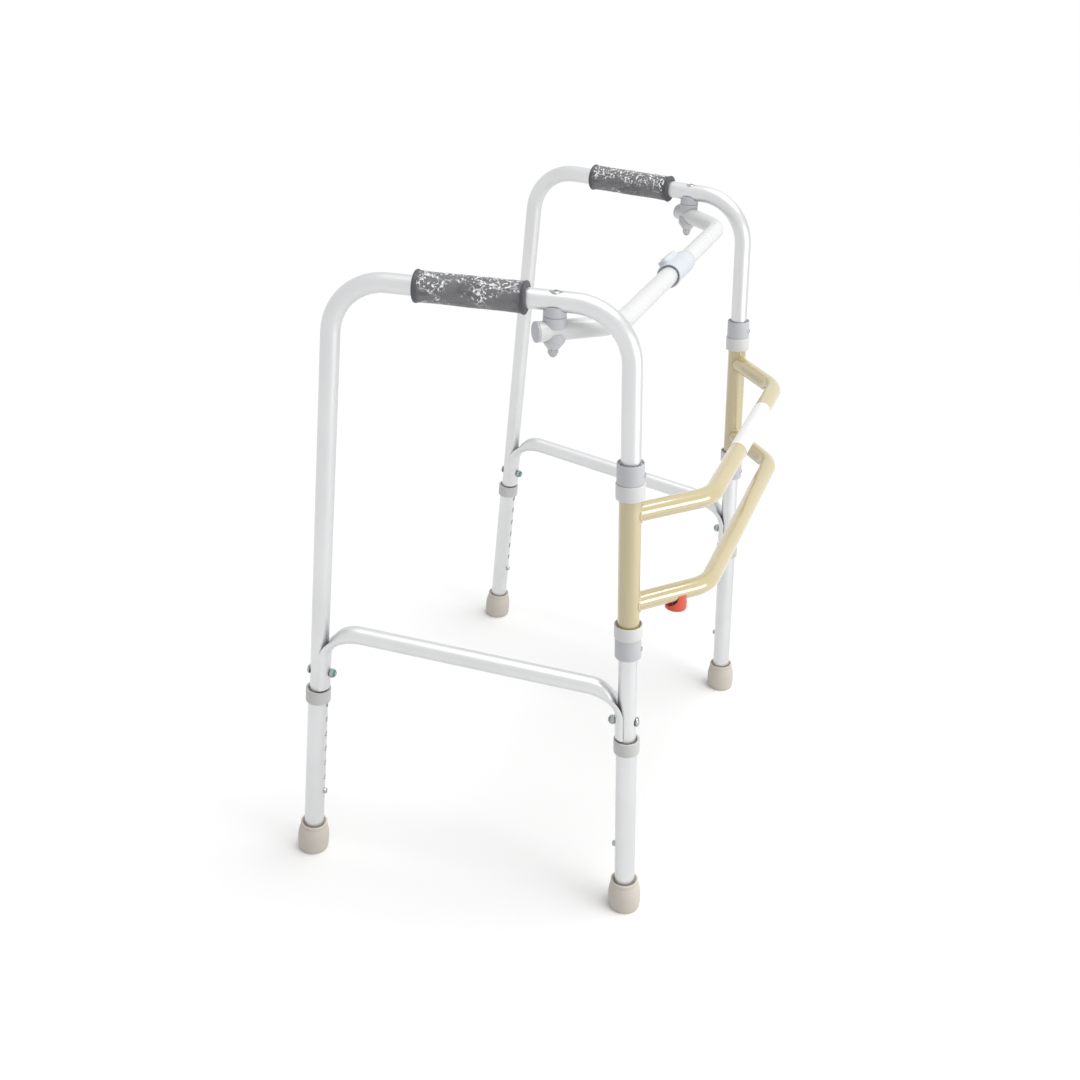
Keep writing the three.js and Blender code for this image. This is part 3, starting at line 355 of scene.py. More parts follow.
def finish(name, tones, gloss, metallic=0.0, grain=(900.0, 1.0), bump=0.02, cloud=14.0, **extra):
    """Two close tones, a range of gloss and a bump in millimetres; `extra` names further sockets."""
    material = bpy.data.materials.new(name)
    material.use_nodes = True
    tree = material.node_tree
    tree.nodes.clear()
    wear = added(tree, "ShaderNodeGroup", {"Scale": cloud, "Low": gloss[0], "High": gloss[1]},
                 node_tree=HANDLING)
    grit = added(tree, "ShaderNodeGroup", {"Scale": grain[0], "Depth": grain[1]}, node_tree=GRAIN)
    first, second = [(*tone, 1) for tone in tones]
    colour = added(tree, "ShaderNodeMix", {"A": first, "B": second, "Factor": wear["Mask"]}, data_type="RGBA")
    relief = added(tree, "ShaderNodeBump", {"Distance": mm(bump), "Height": grit["Height"]})
    skin = added(tree, "ShaderNodeBsdfPrincipled", {
        "Metallic": metallic, "Roughness": wear["Gloss"], "Base Color": colour["Result"],
        "Normal": relief["Normal"], **spaced(extra)})
    added(tree, "ShaderNodeOutputMaterial", {"Surface": skin["BSDF"]})
    return material

# %% Finishes of the walker
satin_aluminium = finish("satin aluminium", [(0.70, 0.705, 0.71), (0.65, 0.655, 0.66)], (0.33, 0.42),
                         metallic=1.0, grain=(1500.0, 1.0), bump=0.008)
beige_enamel = finish("beige enamel", [(0.545, 0.445, 0.20), (0.515, 0.42, 0.185)], (0.30, 0.38),
                      grain=(380.0, 1.0), bump=0.006,
                      Coat_Weight=1.0, Coat_Roughness=0.05, Coat_IOR=2.2)
white_enamel = finish("white enamel", [(0.77, 0.775, 0.77), (0.74, 0.75, 0.75)], (0.24, 0.34),
                      grain=(380.0, 1.0), bump=0.006)
grey_plastic = finish("grey moulded plastic", [(0.61, 0.62, 0.65), (0.565, 0.575, 0.605)], (0.42, 0.55),
                      bump=0.015)
collar_plastic = finish("collar plastic", [(0.62, 0.62, 0.61), (0.57, 0.57, 0.565)], (0.40, 0.52), bump=0.015)
pale_plastic = finish("pale cap plastic", [(0.75, 0.75, 0.75), (0.71, 0.71, 0.715)], (0.42, 0.55), bump=0.015)
blue_plastic = finish("coupling plastic", [(0.68, 0.715, 0.76), (0.64, 0.675, 0.72)], (0.35, 0.48),
                      bump=0.015)
foot_rubber = finish("foot rubber", [(0.65, 0.605, 0.54), (0.60, 0.555, 0.495)], (0.50, 0.66),
                     grain=(600.0, 1.0), bump=0.04)
grip_vinyl = finish("grip vinyl", [(0.095, 0.095, 0.107), (0.075, 0.075, 0.085)], (0.45, 0.62),
                    grain=(700.0, 1.0), bump=0.05)
zinc_plate = finish("zinc plate", [(0.46, 0.47, 0.46), (0.36, 0.37, 0.37)], (0.22, 0.36), metallic=1.0,
                    cloud=60.0, bump=0.01)
teal_nylon = finish("teal nylon", [(0.05, 0.42, 0.40), (0.04, 0.36, 0.35)], (0.4, 0.5), bump=0.01)
red_plastic = finish("red plastic", [(0.75, 0.105, 0.065), (0.69, 0.09, 0.055)], (0.38, 0.50), bump=0.015)
print("finishes:", len(bpy.data.materials))


def dressed(made, material, body, slot, *nodes):
    """Gives a finished piece its material, body and the nodes it stands for."""
    made.data.materials.clear()
    made.data.materials.append(material)
    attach(made, body)
    if nodes:
        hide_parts(*nodes)
    return made

# %% [markdown]
# ## Drawn tubes with Geometry Nodes
# A tube follows a path by rule, so it is a node tree: the bore is swept along the path, then extruded
# outward by the wall, and the bore itself is turned over to close the solid. Changing a radius or the wall
# is one number. The paths are curves whose bends are arcs, exactly where the bending machine would put
# them.

# %% The tube tree
def geometry_group(name, **inputs):
    shape = {"Geometry": ("Geometry", None)}
    sockets = {**shape, **spaced(inputs), "Finish": ("Material", None)}
    tree, given, out = group_with("GeometryNodeTree", name, sockets, shape)
    tree.is_modifier = True
    return tree, given, out


def real_and_painted(tree, given, out, geometry):
    """The end of every tree: real geometry that carries the finish."""
    real = added(tree, "GeometryNodeRealizeInstances", {"Geometry": geometry})
    paint = added(tree, "GeometryNodeSetMaterial", {
        "Geometry": real["Geometry"], "Material": given["Finish"]})
    linked(tree, (paint["Geometry"], out["Geometry"]))
    return tree


def tube_tree():
    tree, given, out = geometry_group("drawn tube", Bore_Radius=("Float", TUBE_BORE),
                                      Wall=("Float", TUBE - TUBE_BORE), Sides=("Int", SIDES))
    ring = added(tree, "GeometryNodeCurvePrimitiveCircle", {
        "Resolution": given["Sides"], "Radius": given["Bore Radius"]})
    sweep = added(tree, "GeometryNodeCurveToMesh", {
        "Curve": given["Geometry"], "Profile Curve": ring["Curve"]})["Mesh"]
    grow = added(tree, "GeometryNodeExtrudeMesh", {
        "Mesh": sweep, "Offset Scale": given["Wall"], "Individual": False}, mode="FACES")
    turn = added(tree, "GeometryNodeFlipFaces", {"Mesh": sweep})
    both = tree.nodes.new("GeometryNodeJoinGeometry")
    linked(tree, *((node["Mesh"], both.inputs["Geometry"]) for node in (turn, grow)))
    weld = added(tree, "GeometryNodeMergeByDistance", {
        "Geometry": both.outputs["Geometry"], "Distance": 1e-6})
    return real_and_painted(tree, given, out, weld["Geometry"])


DRAWN_TUBE = tube_tree()

# %% Paths, and baking a tree's result to a plain mesh
def bent_path(corners, radius, steps=14):
    points = [corners[0]]
    for before, here, after in zip(corners, corners[1:], corners[2:]):
        a, b = (here - before).normalized(), (after - here).normalized()
        angle = a.angle(b)
        axis = a.cross(b).normalized()
        start = here - a * radius * math.tan(angle / 2)
        centre = start + axis.cross(a) * radius
        for k in range(steps + 1):
            points.append(centre + Matrix.Rotation(angle * k / steps, 3, axis) @ (start - centre))
    return points + [corners[-1]]


def path_object(points):
    curve = bpy.data.curves.new("path", "CURVE")
    curve.dimensions = "3D"
    spline = curve.splines.new("POLY")
    spline.points.add(len(points) - 1)
    for spot, point in zip(spline.points, points):
        spot.co = (*point, 1)
    return piece("path", curve)


def baked(name, source, tree, **values):
    """Runs a tree on an object, keeps the result as a mesh of its own, and removes the source."""
    step = source.modifiers.new("tree", "NODES")
    step.node_group = tree
    sockets = {s.name: s.identifier for s in tree.interface.items_tree
               if s.item_type == "SOCKET" and s.in_out == "INPUT"}
    for label, value in spaced(values).items():
        step[sockets[label]] = value
    mesh = evaluated(source)
    bpy.data.objects.remove(source)
    return piece(name, edited(mesh, turned_outward))


def tube(name, points, material, bore=TUBE_BORE, wall=TUBE - TUBE_BORE):
    made = baked(name, path_object(points), DRAWN_TUBE, Bore_Radius=bore, Wall=wall, Finish=material)
    return smooth(made)

# %% [markdown]
# ## The side frames' tubes
# One length of aluminium tube is bent twice to make the front leg, the rail and the rear leg. Where the
# swing bar's bolt goes down through the rail, its head sits in a dimple that is pressed into the top of the
# tube. The dimple is a cup joined inside the tube, then hollowed with a soft lip, as the press leaves it.

# %% Side tubes
HEAD_SEAT = 793.36
LEG_END = mm(67)


def across(leg, height, radius, low, high):
    """A cutter square through a leg, along the line from one leg to the other."""
    return rod(radius, low, high, leg @ aim(Vector((0, 0, height)), Vector((0, 1, 0))))


def pressed_dimple(made):
    cup = [(0, -1.6), (7.9, -1.6), (8.8, 3.4), (0, 3.4)]
    hollow = [(0, -0.3), (6.6, -0.3), (6.9, 0.6), (7.2, 2.0), (7.9, 3.1), (9.2, 3.9), (9.2, 9), (0, 9)]
    cup, hollow = [placed(turned("dimple", [(r, HEAD_SEAT + z) for r, z in rows]), PIVOT_XY)
                   for rows in (cup, hollow)]
    core = rod(10.45, -20, 20, aim(PIVOT, RAIL_WAY), SIDES)
    joined(made, joined(cup, core, operation="INTERSECT"))
    return cut(made, hollow)


def side_tube(side):
    path = [front_leg(LEG_END), front_leg(RAIL_Z), rear_leg(RAIL_Z), rear_leg(LEG_END)]
    made = tube(side + "_tube", bent_path(path, mm(65)), satin_aluminium)
    placed(made, SIDE)
    pressed_dimple(made)
    cut(made, rod(BOLT_HOLE, -60, 60, Matrix.Translation(PIVOT)))
    for leg in LEGS.values():
        cut(made, across(leg, BRACE_BOLT_Z, BOLT_HOLE, -25, 25), across(leg, LOWEST_HOLE, SNAP_HOLE, 5, 25))
    placed(smooth(made), HANDS[side])
    return dressed(made, satin_aluminium, side + "_side", "aluminium", side + "_side_tube")


for side in HANDS:
    made = side_tube(side)
    print(made.name, len(made.data.polygons), "faces")

# %% [markdown]
# ## The brace and its pressed ends
# The brace is a tube whose ends are bent down and pressed hollow until they hug the legs. Its section
# changes from a circle to a crescent along the path, so it is lofted ring by ring: at each station a blend
# between the two outlines is placed square to the path. No standard modifier changes a section this way.

# %% Brace
BRACE_SIDES, BRACE_STEPS = 48, 18
BRACE_END, BRACE_FRONT_Z, BRACE_REAR_Z = mm(259), mm(322), mm(344)
CRESCENT = TUBE + GAP + STRAP / 2
WRAP = math.radians(77)


def brace_section(blend):
    out = []
    for k in range(BRACE_SIDES):
        angle = 2 * math.pi * k / BRACE_SIDES
        away, aside = math.cos(angle), math.sin(angle)
        spread = WRAP * math.asin(max(-1, min(1, aside))) / (math.pi / 2)
        radius = CRESCENT + STRAP / 2 * math.copysign(min(1, abs(away) * 6), away)
        flat = Vector((radius * math.cos(spread) - CRESCENT, radius * math.sin(spread)))
        out.append((Vector((away, aside)) * TUBE).lerp(flat, blend))
    return out


def eased(x):
    x = max(0.0, min(1.0, x))
    return x * x * (3 - 2 * x)


def brace_path():
    def line(leg, sign):
        return lambda z: leg(z) + Vector((0, sign * CRESCENT, 0))
    front, rear = line(front_leg, 1), line(rear_leg, -1)
    return bent_path([front(BRACE_END), front(BRACE_FRONT_Z), rear(BRACE_REAR_Z), rear(BRACE_END)],
                     mm(38), BRACE_STEPS)


def end_faces(start, count):
    """A ring of points closed by a ladder of quads, because a crescent has no single flat face."""
    ring = [start + (k + count - count // 4) % count for k in range(count)]
    for k in range(count // 2):
        face = list(dict.fromkeys([ring[k], ring[k + 1], ring[count - k - 1], ring[(count - k) % count]]))
        if len(face) > 2:
            yield face


def brace(side):
    path = brace_path()
    last, count = len(path) - 1, BRACE_SIDES
    vertices, faces = [], []
    for i, point in enumerate(path):
        ahead = (path[min(i + 1, last)] - path[max(i - 1, 0)]).normalized()
        away = Vector((0, ahead.z, -ahead.y))
        step = min(i, last - i) - 1
        share = (1 - step / BRACE_STEPS - 0.15) / 0.85
        for x, y in brace_section(eased(share)):
            vertices.append(point + away * x + Vector((y, 0, 0)))
    for i in range(last):
        for k in range(count):
            a, b = i * count + k, i * count + (k + 1) % count
            faces.append([a, b, b + count, a + count])
    faces += [*end_faces(0, count), *end_faces(last * count, count)]
    made = mesh_from(side + "_brace_tube", vertices, faces)
    placed(made, SIDE)
    for leg in LEGS.values():
        cut(made, across(leg, BRACE_BOLT_Z, BOLT_HOLE, -25, 25))
    placed(smooth(made, 40), HANDS[side])
    return dressed(made, satin_aluminium, side + "_side", "aluminium", side + "_brace")


for side in HANDS:
    print(brace(side).name, "lofted")

# %% [markdown]
# ## Outer leg tubes and their row of holes
# The holes repeat at one pitch, so a node tree makes them: a line of points, a cutter on each point and one
# boolean. The tube stands along its own Z until the holes are cut, and only then goes to its leg.

# %% The hole tree and the leg tubes
def hole_tree():
    tree, given, out = geometry_group(
        "row of holes", Count=("Int", HOLES), Pitch=("Float", HOLE_PITCH), First=("Float", LOWEST_HOLE),
        Hole_Radius=("Float", mm(SNAP_HOLE)))
    start = added(tree, "ShaderNodeCombineXYZ", {"Y": OUTER_TUBE, "Z": given["First"]})
    step = added(tree, "ShaderNodeCombineXYZ", {"Z": given["Pitch"]})
    row = added(tree, "GeometryNodeMeshLine", {
        "Count": given["Count"], "Start Location": start[0], "Offset": step[0]}, mode="OFFSET")
    drill = added(tree, "GeometryNodeMeshCylinder", {
        "Vertices": 28, "Depth": mm(12), "Radius": given["Hole Radius"]})
    stand = added(tree, "GeometryNodeInstanceOnPoints", {
        "Points": row["Mesh"], "Instance": drill["Mesh"], "Rotation": (math.pi / 2, 0, 0)})
    bits = added(tree, "GeometryNodeRealizeInstances", {"Geometry": stand["Instances"]})
    bore = added(tree, "GeometryNodeMeshBoolean", {
        "Mesh 1": given["Geometry"], "Mesh 2": bits["Geometry"]},
        operation="DIFFERENCE", solver="EXACT")
    return real_and_painted(tree, given, out, bore["Mesh"])


ROW_OF_HOLES = hole_tree()


def leg_tube(side, end):
    plain = tube("plain", [Vector((0, 0, mm(10))), Vector((0, 0, mm(252)))], satin_aluminium,
                 bore=OUTER_BORE, wall=OUTER_TUBE - OUTER_BORE)
    made = baked(f"{side}_{end}_leg_tube", plain, ROW_OF_HOLES, Finish=satin_aluminium)
    placed(smooth(made), HANDS[side] @ LEGS[end])
    return dressed(made, satin_aluminium, f"{side}_{end}_lower", "aluminium", f"{side}_{end}_lower_leg")


for side in HANDS:
    for end in LEGS:
        print(leg_tube(side, end).name, "drilled")

# %% [markdown]
# ## Collars, rings and caps
# The plastic sleeves on the legs are plain turned shapes, but their eased edges and open rims are what the
# eye reads: a rim with a dark gap round the tube says that one tube slides in another. Each is a profile
# turned about the leg, with every corner rounded a little.

# %% Turned plastics
def collar_rows():
    return rounded([(13, 239), (15.75, 239), (15.75, 257), (13.2, 257), (12.3, 252.3), (13, 252.3)], 0.6)


def socket_rows(bore, outer, closed, open_end, lip):
    """A ring whose open end widens to a thin lip, so that a dark gap shows round the tube."""
    way = math.copysign(1, open_end - closed)
    return [(outer, closed), (outer, open_end), (outer - lip, open_end),
            (outer - lip - 0.3, open_end - 3.4 * way), (bore, open_end - 3.8 * way)]


def cap_rows(closed, seat, open_end):
    socket = socket_rows(13, 16.5, closed, open_end, 1.5)
    return rounded([(TUBE_SEAT, closed)] + socket + [(13, seat), (TUBE_SEAT, seat)], 0.6)


def ring_rows(closed, open_end):
    return rounded([(TUBE_SEAT, closed)] + socket_rows(TUBE_SEAT, 15.5, closed, open_end, 1.3), 0.5)


def turned_set(side):
    out = []
    for end in LEGS:
        made = placed(smooth(turned(f"{side}_{end}_collar_skin", collar_rows())), HANDS[side] @ LEGS[end])
        out.append(dressed(made, collar_plastic, f"{side}_{end}_lower", "grey_plastic",
                           f"{side}_{end}_collar"))
    for label, rows in (("upper_ring", ring_rows(593.5, 617)), ("lower_ring", ring_rows(399, 373))):
        made = placed(smooth(turned(f"{side}_{label}_skin", rows)), HANDS[side] @ SIDE @ FRONT_LEG)
        out.append(dressed(made, grey_plastic, side + "_side", "grey_plastic", f"{side}_{label}"))
    caps = (("upper_cap", cap_rows(593.2, 585.3, 575)), ("lower_cap", cap_rows(399.3, 404.7, 416)))
    for label, rows in caps:
        made = placed(smooth(turned(f"{side}_{label}_skin", rows)), HANDS[side] @ COLUMN)
        out.append(dressed(made, pale_plastic, "front_frame", "grey_plastic", f"{side}_{label}"))
    return out


for side in HANDS:
    print([made.name for made in turned_set(side)])

# %% [markdown]
# ## Rubber feet
# The foot is a bell of soft rubber pushed over the tube. Its outline swells toward the floor and draws in
# to a rolled rim. The sole has ring-shaped treads, cut below the part that touches the floor. A boolean
# with a box under the floor keeps the sole flat whatever the lean of the leg.

# %% Feet
FOOT_ROWS = [(0, -5), (18.4, -5), (18.6, 0), (19.6, 2.2), (20.2, 6), (20.5, 14), (20.5, 21), (20.0, 26),
             (19.0, 31), (17.9, 35), (17.3, 37.5), (17.5, 39), (17.3, 41.4), (16.8, 42), (15.6, 42),
             (15.0, 41.4), (14.4, 38.6), (13, 37.4), (13, 9.7), (0, 9.7)]
TREADS, TREAD_WIDTH, TREAD_DEPTH = (4, 8.5, 13), 1.6, 1.2


def foot(side, end):
    rows = []
    for (r0, z0), (r1, z1) in zip(FOOT_ROWS, FOOT_ROWS[1:]):
        rows += [(r0, z0), ((r0 + r1) / 2, (z0 + z1) / 2)] if r0 and r1 else [(r0, z0)]
    made = turned(f"{side}_{end}_foot_bell", rows + [FOOT_ROWS[-1]])
    placed(made, LEGS[end])
    middle = LEGS[end].translation
    under = Matrix.Translation((middle.x, middle.y, 0))
    cutters = [rod(40, -60, 0, sides=8)]
    for r in TREADS:
        cutters.append(turned("tread", rounded([
            (r, -6), (r + TREAD_WIDTH, -6), (r + TREAD_WIDTH, TREAD_DEPTH), (r, TREAD_DEPTH)], 0.3)))
    cut(made, *[placed(cutter, under) for cutter in cutters])
    placed(smooth(made, 35), HANDS[side])
    return dressed(made, foot_rubber, f"{side}_{end}_lower", "foot_rubber", f"{side}_{end}_foot")


for side in HANDS:
    for end in LEGS:
        print(foot(side, end).name, "turned and cut")

# %% [markdown]
# ## Hand grips in their shipping film
# Each grip is a soft moulded sleeve with rolled ends. A film of clear plastic is still shrunk round it. The
# film is a thin tube made by a node tree: a noise field moves its points in and out, so the creases are real
# geometry and show on any angle. Broken white streaks and specks of painted highlight are added in the
# film's colour, more of them toward its top, where the light falls.

# %% Grip body
GRIP_AT = SIDE @ Matrix.Translation((0, mm(163), RAIL_Z)) @ Matrix.Rotation(-math.pi / 2, 4, "X")
GRIP_ROWS = [(TUBE_SEAT, 0), (16.6, 0), (18, 1.4), (18, 3.2), (17.0, 5), (16.7, 10), (16.35, 25), (16.5, 43),
             (16.8, 61), (16.5, 79), (16.35, 97), (16.7, 112), (17.0, 117), (18, 118.8), (18, 120.6),
             (16.6, 122), (TUBE_SEAT, 122)]


def grip(side):
    made = placed(smooth(turned(side + "_grip_sleeve", rounded(GRIP_ROWS, 1.0))), HANDS[side] @ GRIP_AT)
    return dressed(made, grip_vinyl, side + "_side", "grip_vinyl", side + "_grip")


for side in HANDS:
    print(grip(side).name)

# %% The crinkled film
def film_with_painted_glints():
    """Clear but for painted highlights: white glint lines and specks in clusters, thicker on the upper half
    where light falls.
    """
    material = finish("clear film with painted glints", [(1, 1, 1), (0.96, 0.97, 0.98)], (0.06, 0.16), grain=(400.0, 1.0),
                      bump=0.1)
    tree = material.node_tree
    skin = next(n for n in tree.nodes if n.type == "BSDF_PRINCIPLED")
    place = object_place(tree)
    height = added(tree, "ShaderNodeSeparateXYZ", {0: place})["Z"]
    # Painted highlight: the white glints thicken toward the top of the grip, where the light falls.
    painted_glint_lift = ranged(tree, height, RAIL_Z - mm(4), RAIL_Z + mm(11), 0.0, 0.22)
    painted_glint_field = combined(tree, "ADD", noise_at(tree, place, 38.0), painted_glint_lift)
    painted_glint_cluster = ranged(tree, painted_glint_field, 0.56, 0.70, 0.0, 1.0)
    stretch = added(tree, "ShaderNodeVectorMath", {0: place, 1: (1.0, 0.45, 1.0)}, operation="MULTIPLY")
    swirl = added(tree, "ShaderNodeTexNoise", {"Vector": place, "Scale": 45.0})
    warp = added(tree, "ShaderNodeVectorMath", {
        0: swirl["Color"], 1: (0.03, 0.03, 0.03), 2: stretch[0]}, operation="MULTIPLY_ADD")
    painted_streak_edge = added(tree, "ShaderNodeTexVoronoi", {"Scale": 70.0, "Vector": warp[0]},
                   feature="DISTANCE_TO_EDGE")["Distance"]
    # Painted highlights: white crease lines and specks, made opaque in the alpha, stand in for glints of
    # light.
    painted_glint_lines = combined(tree, "MULTIPLY", ranged(tree, painted_streak_edge, 0.0, 0.035, 0.6, 0.0), painted_glint_cluster)
    painted_glint_dots = ranged(tree, noise_at(tree, place, 300.0, 1.0), 0.58, 0.64, 0.0, 1.0)
    painted_glint_specks = combined(tree, "MULTIPLY", painted_glint_dots, painted_glint_cluster)
    painted_glints_and_haze = combined(tree, "ADD", painted_glint_lines, 0.07)
    linked(tree, (combined(tree, "ADD", painted_glints_and_haze, painted_glint_specks, use_clamp=True), skin.inputs["Alpha"]))
    return material


# The film's white streaks and specks are painted highlights.
painted_glint_film = film_with_painted_glints()


def film_tree():
    tree, given, out = geometry_group("crinkled film", Depth=("Float", mm(0.9)), Crease_Scale=("Float", 95.0),
                                      Seed=("Float", 3.0))
    place = added(tree, "GeometryNodeInputPosition")[0]
    normal = added(tree, "GeometryNodeInputNormal")[0]
    crease = added(tree, "ShaderNodeTexNoise", noise_dimensions="4D", feeds={
        "Vector": place, "Scale": given["Crease Scale"], "W": given["Seed"], "Detail": 3.0})["Fac"]
    ridge = combined(tree, "ABSOLUTE", combined(tree, "SUBTRACT", crease, 0.5))
    depth = combined(tree, "MULTIPLY", combined(tree, "MULTIPLY", ridge, 4.0), given["Depth"])
    push = added(tree, "ShaderNodeVectorMath", {0: normal, "Scale": depth}, operation="SCALE")
    move = added(tree, "GeometryNodeSetPosition", {"Geometry": given["Geometry"], "Offset": push[0]})
    shade = added(tree, "GeometryNodeSetShadeSmooth", {"Geometry": move["Geometry"]})
    return real_and_painted(tree, given, out, shade["Geometry"])


CRINKLE = film_tree()


def film(side):
    start, long, outer, inner = 6, 110, 90, 12
    rows = [(17.0, start), *((17.05, start + long * k / outer) for k in range(outer + 1)),
            (17.0, start + long)]
    rows += [(16.95, start + long), *((16.92, start + long - long * k / inner) for k in range(inner + 1))]
    plain = placed(turned("plain", rows, 96), GRIP_AT)
    made = baked(side + "_grip_film", plain, CRINKLE, Finish=painted_glint_film, Seed=3.0 if side == "left" else 8.0)
    placed(made, HANDS[side])
    return dressed(made, painted_glint_film, side + "_side", "grip_vinyl")


for side in HANDS:
    print(film(side).name, len(bpy.data.objects[side + "_grip_film"].data.polygons), "faces")

# %% [markdown]
# ## The enamelled front frame
# The sleeves carry the fold pivots, and two bent tubes are welded between them. Each tube end is coped,
# that is cut to the curve of the sleeve, and a bead of weld runs round the joint under the enamel. The bead
# follows a path, so a node tree strings small overlapping drops along it.

# %% Sleeves and front tubes
def sleeve(side):
    points = [Vector((0, 0, mm(405))), Vector((0, 0, mm(585)))]
    made = tube(side + "_enamel_sleeve", points, beige_enamel, bore=OUTER_BORE, wall=OUTER_TUBE - OUTER_BORE)
    placed(made, HANDS[side] @ COLUMN)
    return dressed(made, beige_enamel, "front_frame", "enamel", side + "_sleeve")


def front_corners(hand, z):
    """Where a front tube at height z meets the sleeve's axis on one side, and where it bends there."""
    back = FRONT_LEAN * z
    return (WALKER @ Vector((hand * HALF_TRACK, back, z)),
            WALKER @ Vector((hand * BEND_OUT, back - BEND_AHEAD, z)))


def front_tube(name, z, node):
    left, right = front_corners(1, z), front_corners(-1, z)
    made = tube(name, bent_path([*left, *reversed(right)], mm(57)), beige_enamel)
    for hand in HANDS.values():
        cut(made, rod(12.95, 300, 700, hand @ COLUMN))
    return dressed(smooth(made), beige_enamel, "front_frame", "enamel", node)


for side in HANDS:
    print(sleeve(side).name)
print(front_tube("upper_front_rail", UPPER_TUBE_Z, "front_upper_tube").name)
print(front_tube("lower_front_rail", LOWER_TUBE_Z, "front_lower_tube").name)

# %% Weld beads
def bead_tree():
    tree, given, out = geometry_group("weld bead", Drop_Radius=("Float", mm(1.5)), Step=("Float", mm(1.3)),
                                      Seed=("Int", 5))
    points = added(tree, "GeometryNodeCurveToPoints", {
        "Curve": given["Geometry"], "Length": given["Step"]}, mode="LENGTH")
    drop = added(tree, "GeometryNodeMeshIcoSphere", {"Radius": given["Drop Radius"], "Subdivisions": 2})
    size = added(tree, "FunctionNodeRandomValue", {2: 0.85, 3: 1.1, "Seed": given["Seed"]}, data_type="FLOAT")
    string = added(tree, "GeometryNodeInstanceOnPoints", {
        "Points": points["Points"], "Instance": drop["Mesh"], "Scale": size[1]})
    real = added(tree, "GeometryNodeRealizeInstances", {"Geometry": string["Instances"]})
    shade = added(tree, "GeometryNodeSetShadeSmooth", {"Geometry": real["Geometry"]})
    return real_and_painted(tree, given, out, shade["Geometry"])


WELD_BEAD = bead_tree()


def weld_path(z, steps=48):
    """The curve where a front tube's outside meets the sleeve's outside, on the left."""
    seat, bend = front_corners(1, z)
    along = (bend - seat).normalized()
    up, side_way = Vector((0, 0, 1)), along.cross(Vector((0, 0, 1)))
    points = []
    for k in range(steps + 1):
        a = 2 * math.pi * k / steps
        edge = (up * math.sin(a) + side_way * math.cos(a)) * TUBE
        reach = math.sqrt(max(0, OUTER_TUBE ** 2 - (edge.dot(side_way)) ** 2))
        points.append(seat + edge + along * (reach - mm(0.2)) + Vector((0, FRONT_LEAN, 0)) * edge.z)
    return points


def weld(side, label, z):
    made = baked(f"{side}_{label}_weld", path_object(weld_path(z)), WELD_BEAD, Finish=beige_enamel)
    placed(made, HANDS[side])
    return dressed(made, beige_enamel, "front_frame", "enamel")


for side in HANDS:
    print(weld(side, "upper", UPPER_TUBE_Z).name, weld(side, "lower", LOWER_TUBE_Z).name)

# %% [markdown]
# ## Fasteners
# Bolt heads, nuts and screws repeat all over the walker, so each is modelled once as a small mesh and
# placed many times. A domed head with a cross recess, a hexagon nut with its teal nylon ring and an acorn
# nut are enough for the whole frame.

# %% Fastener shapes
def crossed_slots(size, height, turn):
    at = Matrix.Translation((0, 0, mm(height)))
    return [placed(mesh_box("slot", size), at @ Matrix.Rotation(a, 4, "Z"))
            for a in (turn, turn + math.pi / 2)]


def bolt(name, shank):
    dome = [(6, 0), (6, 1.0), (5.5, 2.0), (4.3, 2.9), (2.4, 3.35), (0, 3.45)]
    made = turned(name, [(0, -shank), (2.6, -shank), (3, -shank + 0.5), (3, 0)] + dome)
    return smooth(cut(made, *crossed_slots((4.8, 1.0, 2.0), 3.3, 0.3)))


def mesh_box(name, size):
    x, y, z = [mm(s) / 2 for s in size]
    corners = [(i, j, k) for i in (-x, x) for j in (-y, y) for k in (-z, z)]
    faces = [(0, 1, 3, 2), (4, 6, 7, 5), (0, 4, 5, 1), (2, 3, 7, 6), (0, 2, 6, 4), (1, 5, 7, 3)]
    return mesh_from(name, corners, faces)


def hexagon(name, low, high, flats=10):
    corner = flats / math.cos(math.pi / 6) / 2
    body = turned(name, [(0, low), (corner, low), (corner, high), (0, high)], 6)
    over = turned("chamfer", [(5.15, high + 2), (5.15, high), (5.9, high - 0.9), (9, high - 0.9),
                              (9, high + 2)])
    under = turned("chamfer", [(5.15, low - 2), (9, low - 2), (9, low + 0.9), (5.9, low + 0.9), (5.15, low)])
    return cut(body, over, under)


def nut(name):
    made = hexagon(name, 0, 4.5)
    return smooth(cut(made, rod(3.25, -2, 9)))


def nylon_ring(name):
    return smooth(turned(name, rounded([(3.25, 4.5), (4.7, 4.5), (4.7, 6.0), (3.25, 6.0)], 0.4)))

# %% Brace bolts and nuts
STACK = TUBE + 2 * GAP + STRAP


def brace_fasteners(side, end):
    bolt_at = HANDS[side] @ LEGS[end] @ Matrix.Translation((0, 0, BRACE_BOLT_Z))
    outward = bolt_at @ Matrix.Translation((0, -(TUBE + GAP), 0)) @ Matrix.Rotation(math.pi / 2, 4, "X")
    inward = bolt_at @ Matrix.Translation((0, STACK, 0)) @ Matrix.Rotation(-math.pi / 2, 4, "X")
    shank = TUBE_SEAT + STACK * 1000 + 7.5
    made = placed(bolt(f"{side}_{end}_bolt", shank), outward)
    dressed(made, zinc_plate, side + "_side", "steel", f"{side}_{end}_brace_bolt")
    body = placed(nut(f"{side}_{end}_nut"), inward)
    dressed(body, zinc_plate, side + "_side", "steel", f"{side}_{end}_brace_nut")
    ring = placed(nylon_ring(f"{side}_{end}_nut_ring"), inward)
    dressed(ring, teal_nylon, side + "_side", "grey_plastic")
    return made, body, ring


for side in HANDS:
    for end in LEGS:
        print([made.name for made in brace_fasteners(side, end)])

# %% [markdown]
# ## Snap buttons
# A steel button stands out through the leg's hole on a folded leaf spring. Only its domed end shows, but
# the leaf is here too, because the holes look into the tube.

# %% Snap buttons and their leaves
PIN_BACK = 7.1


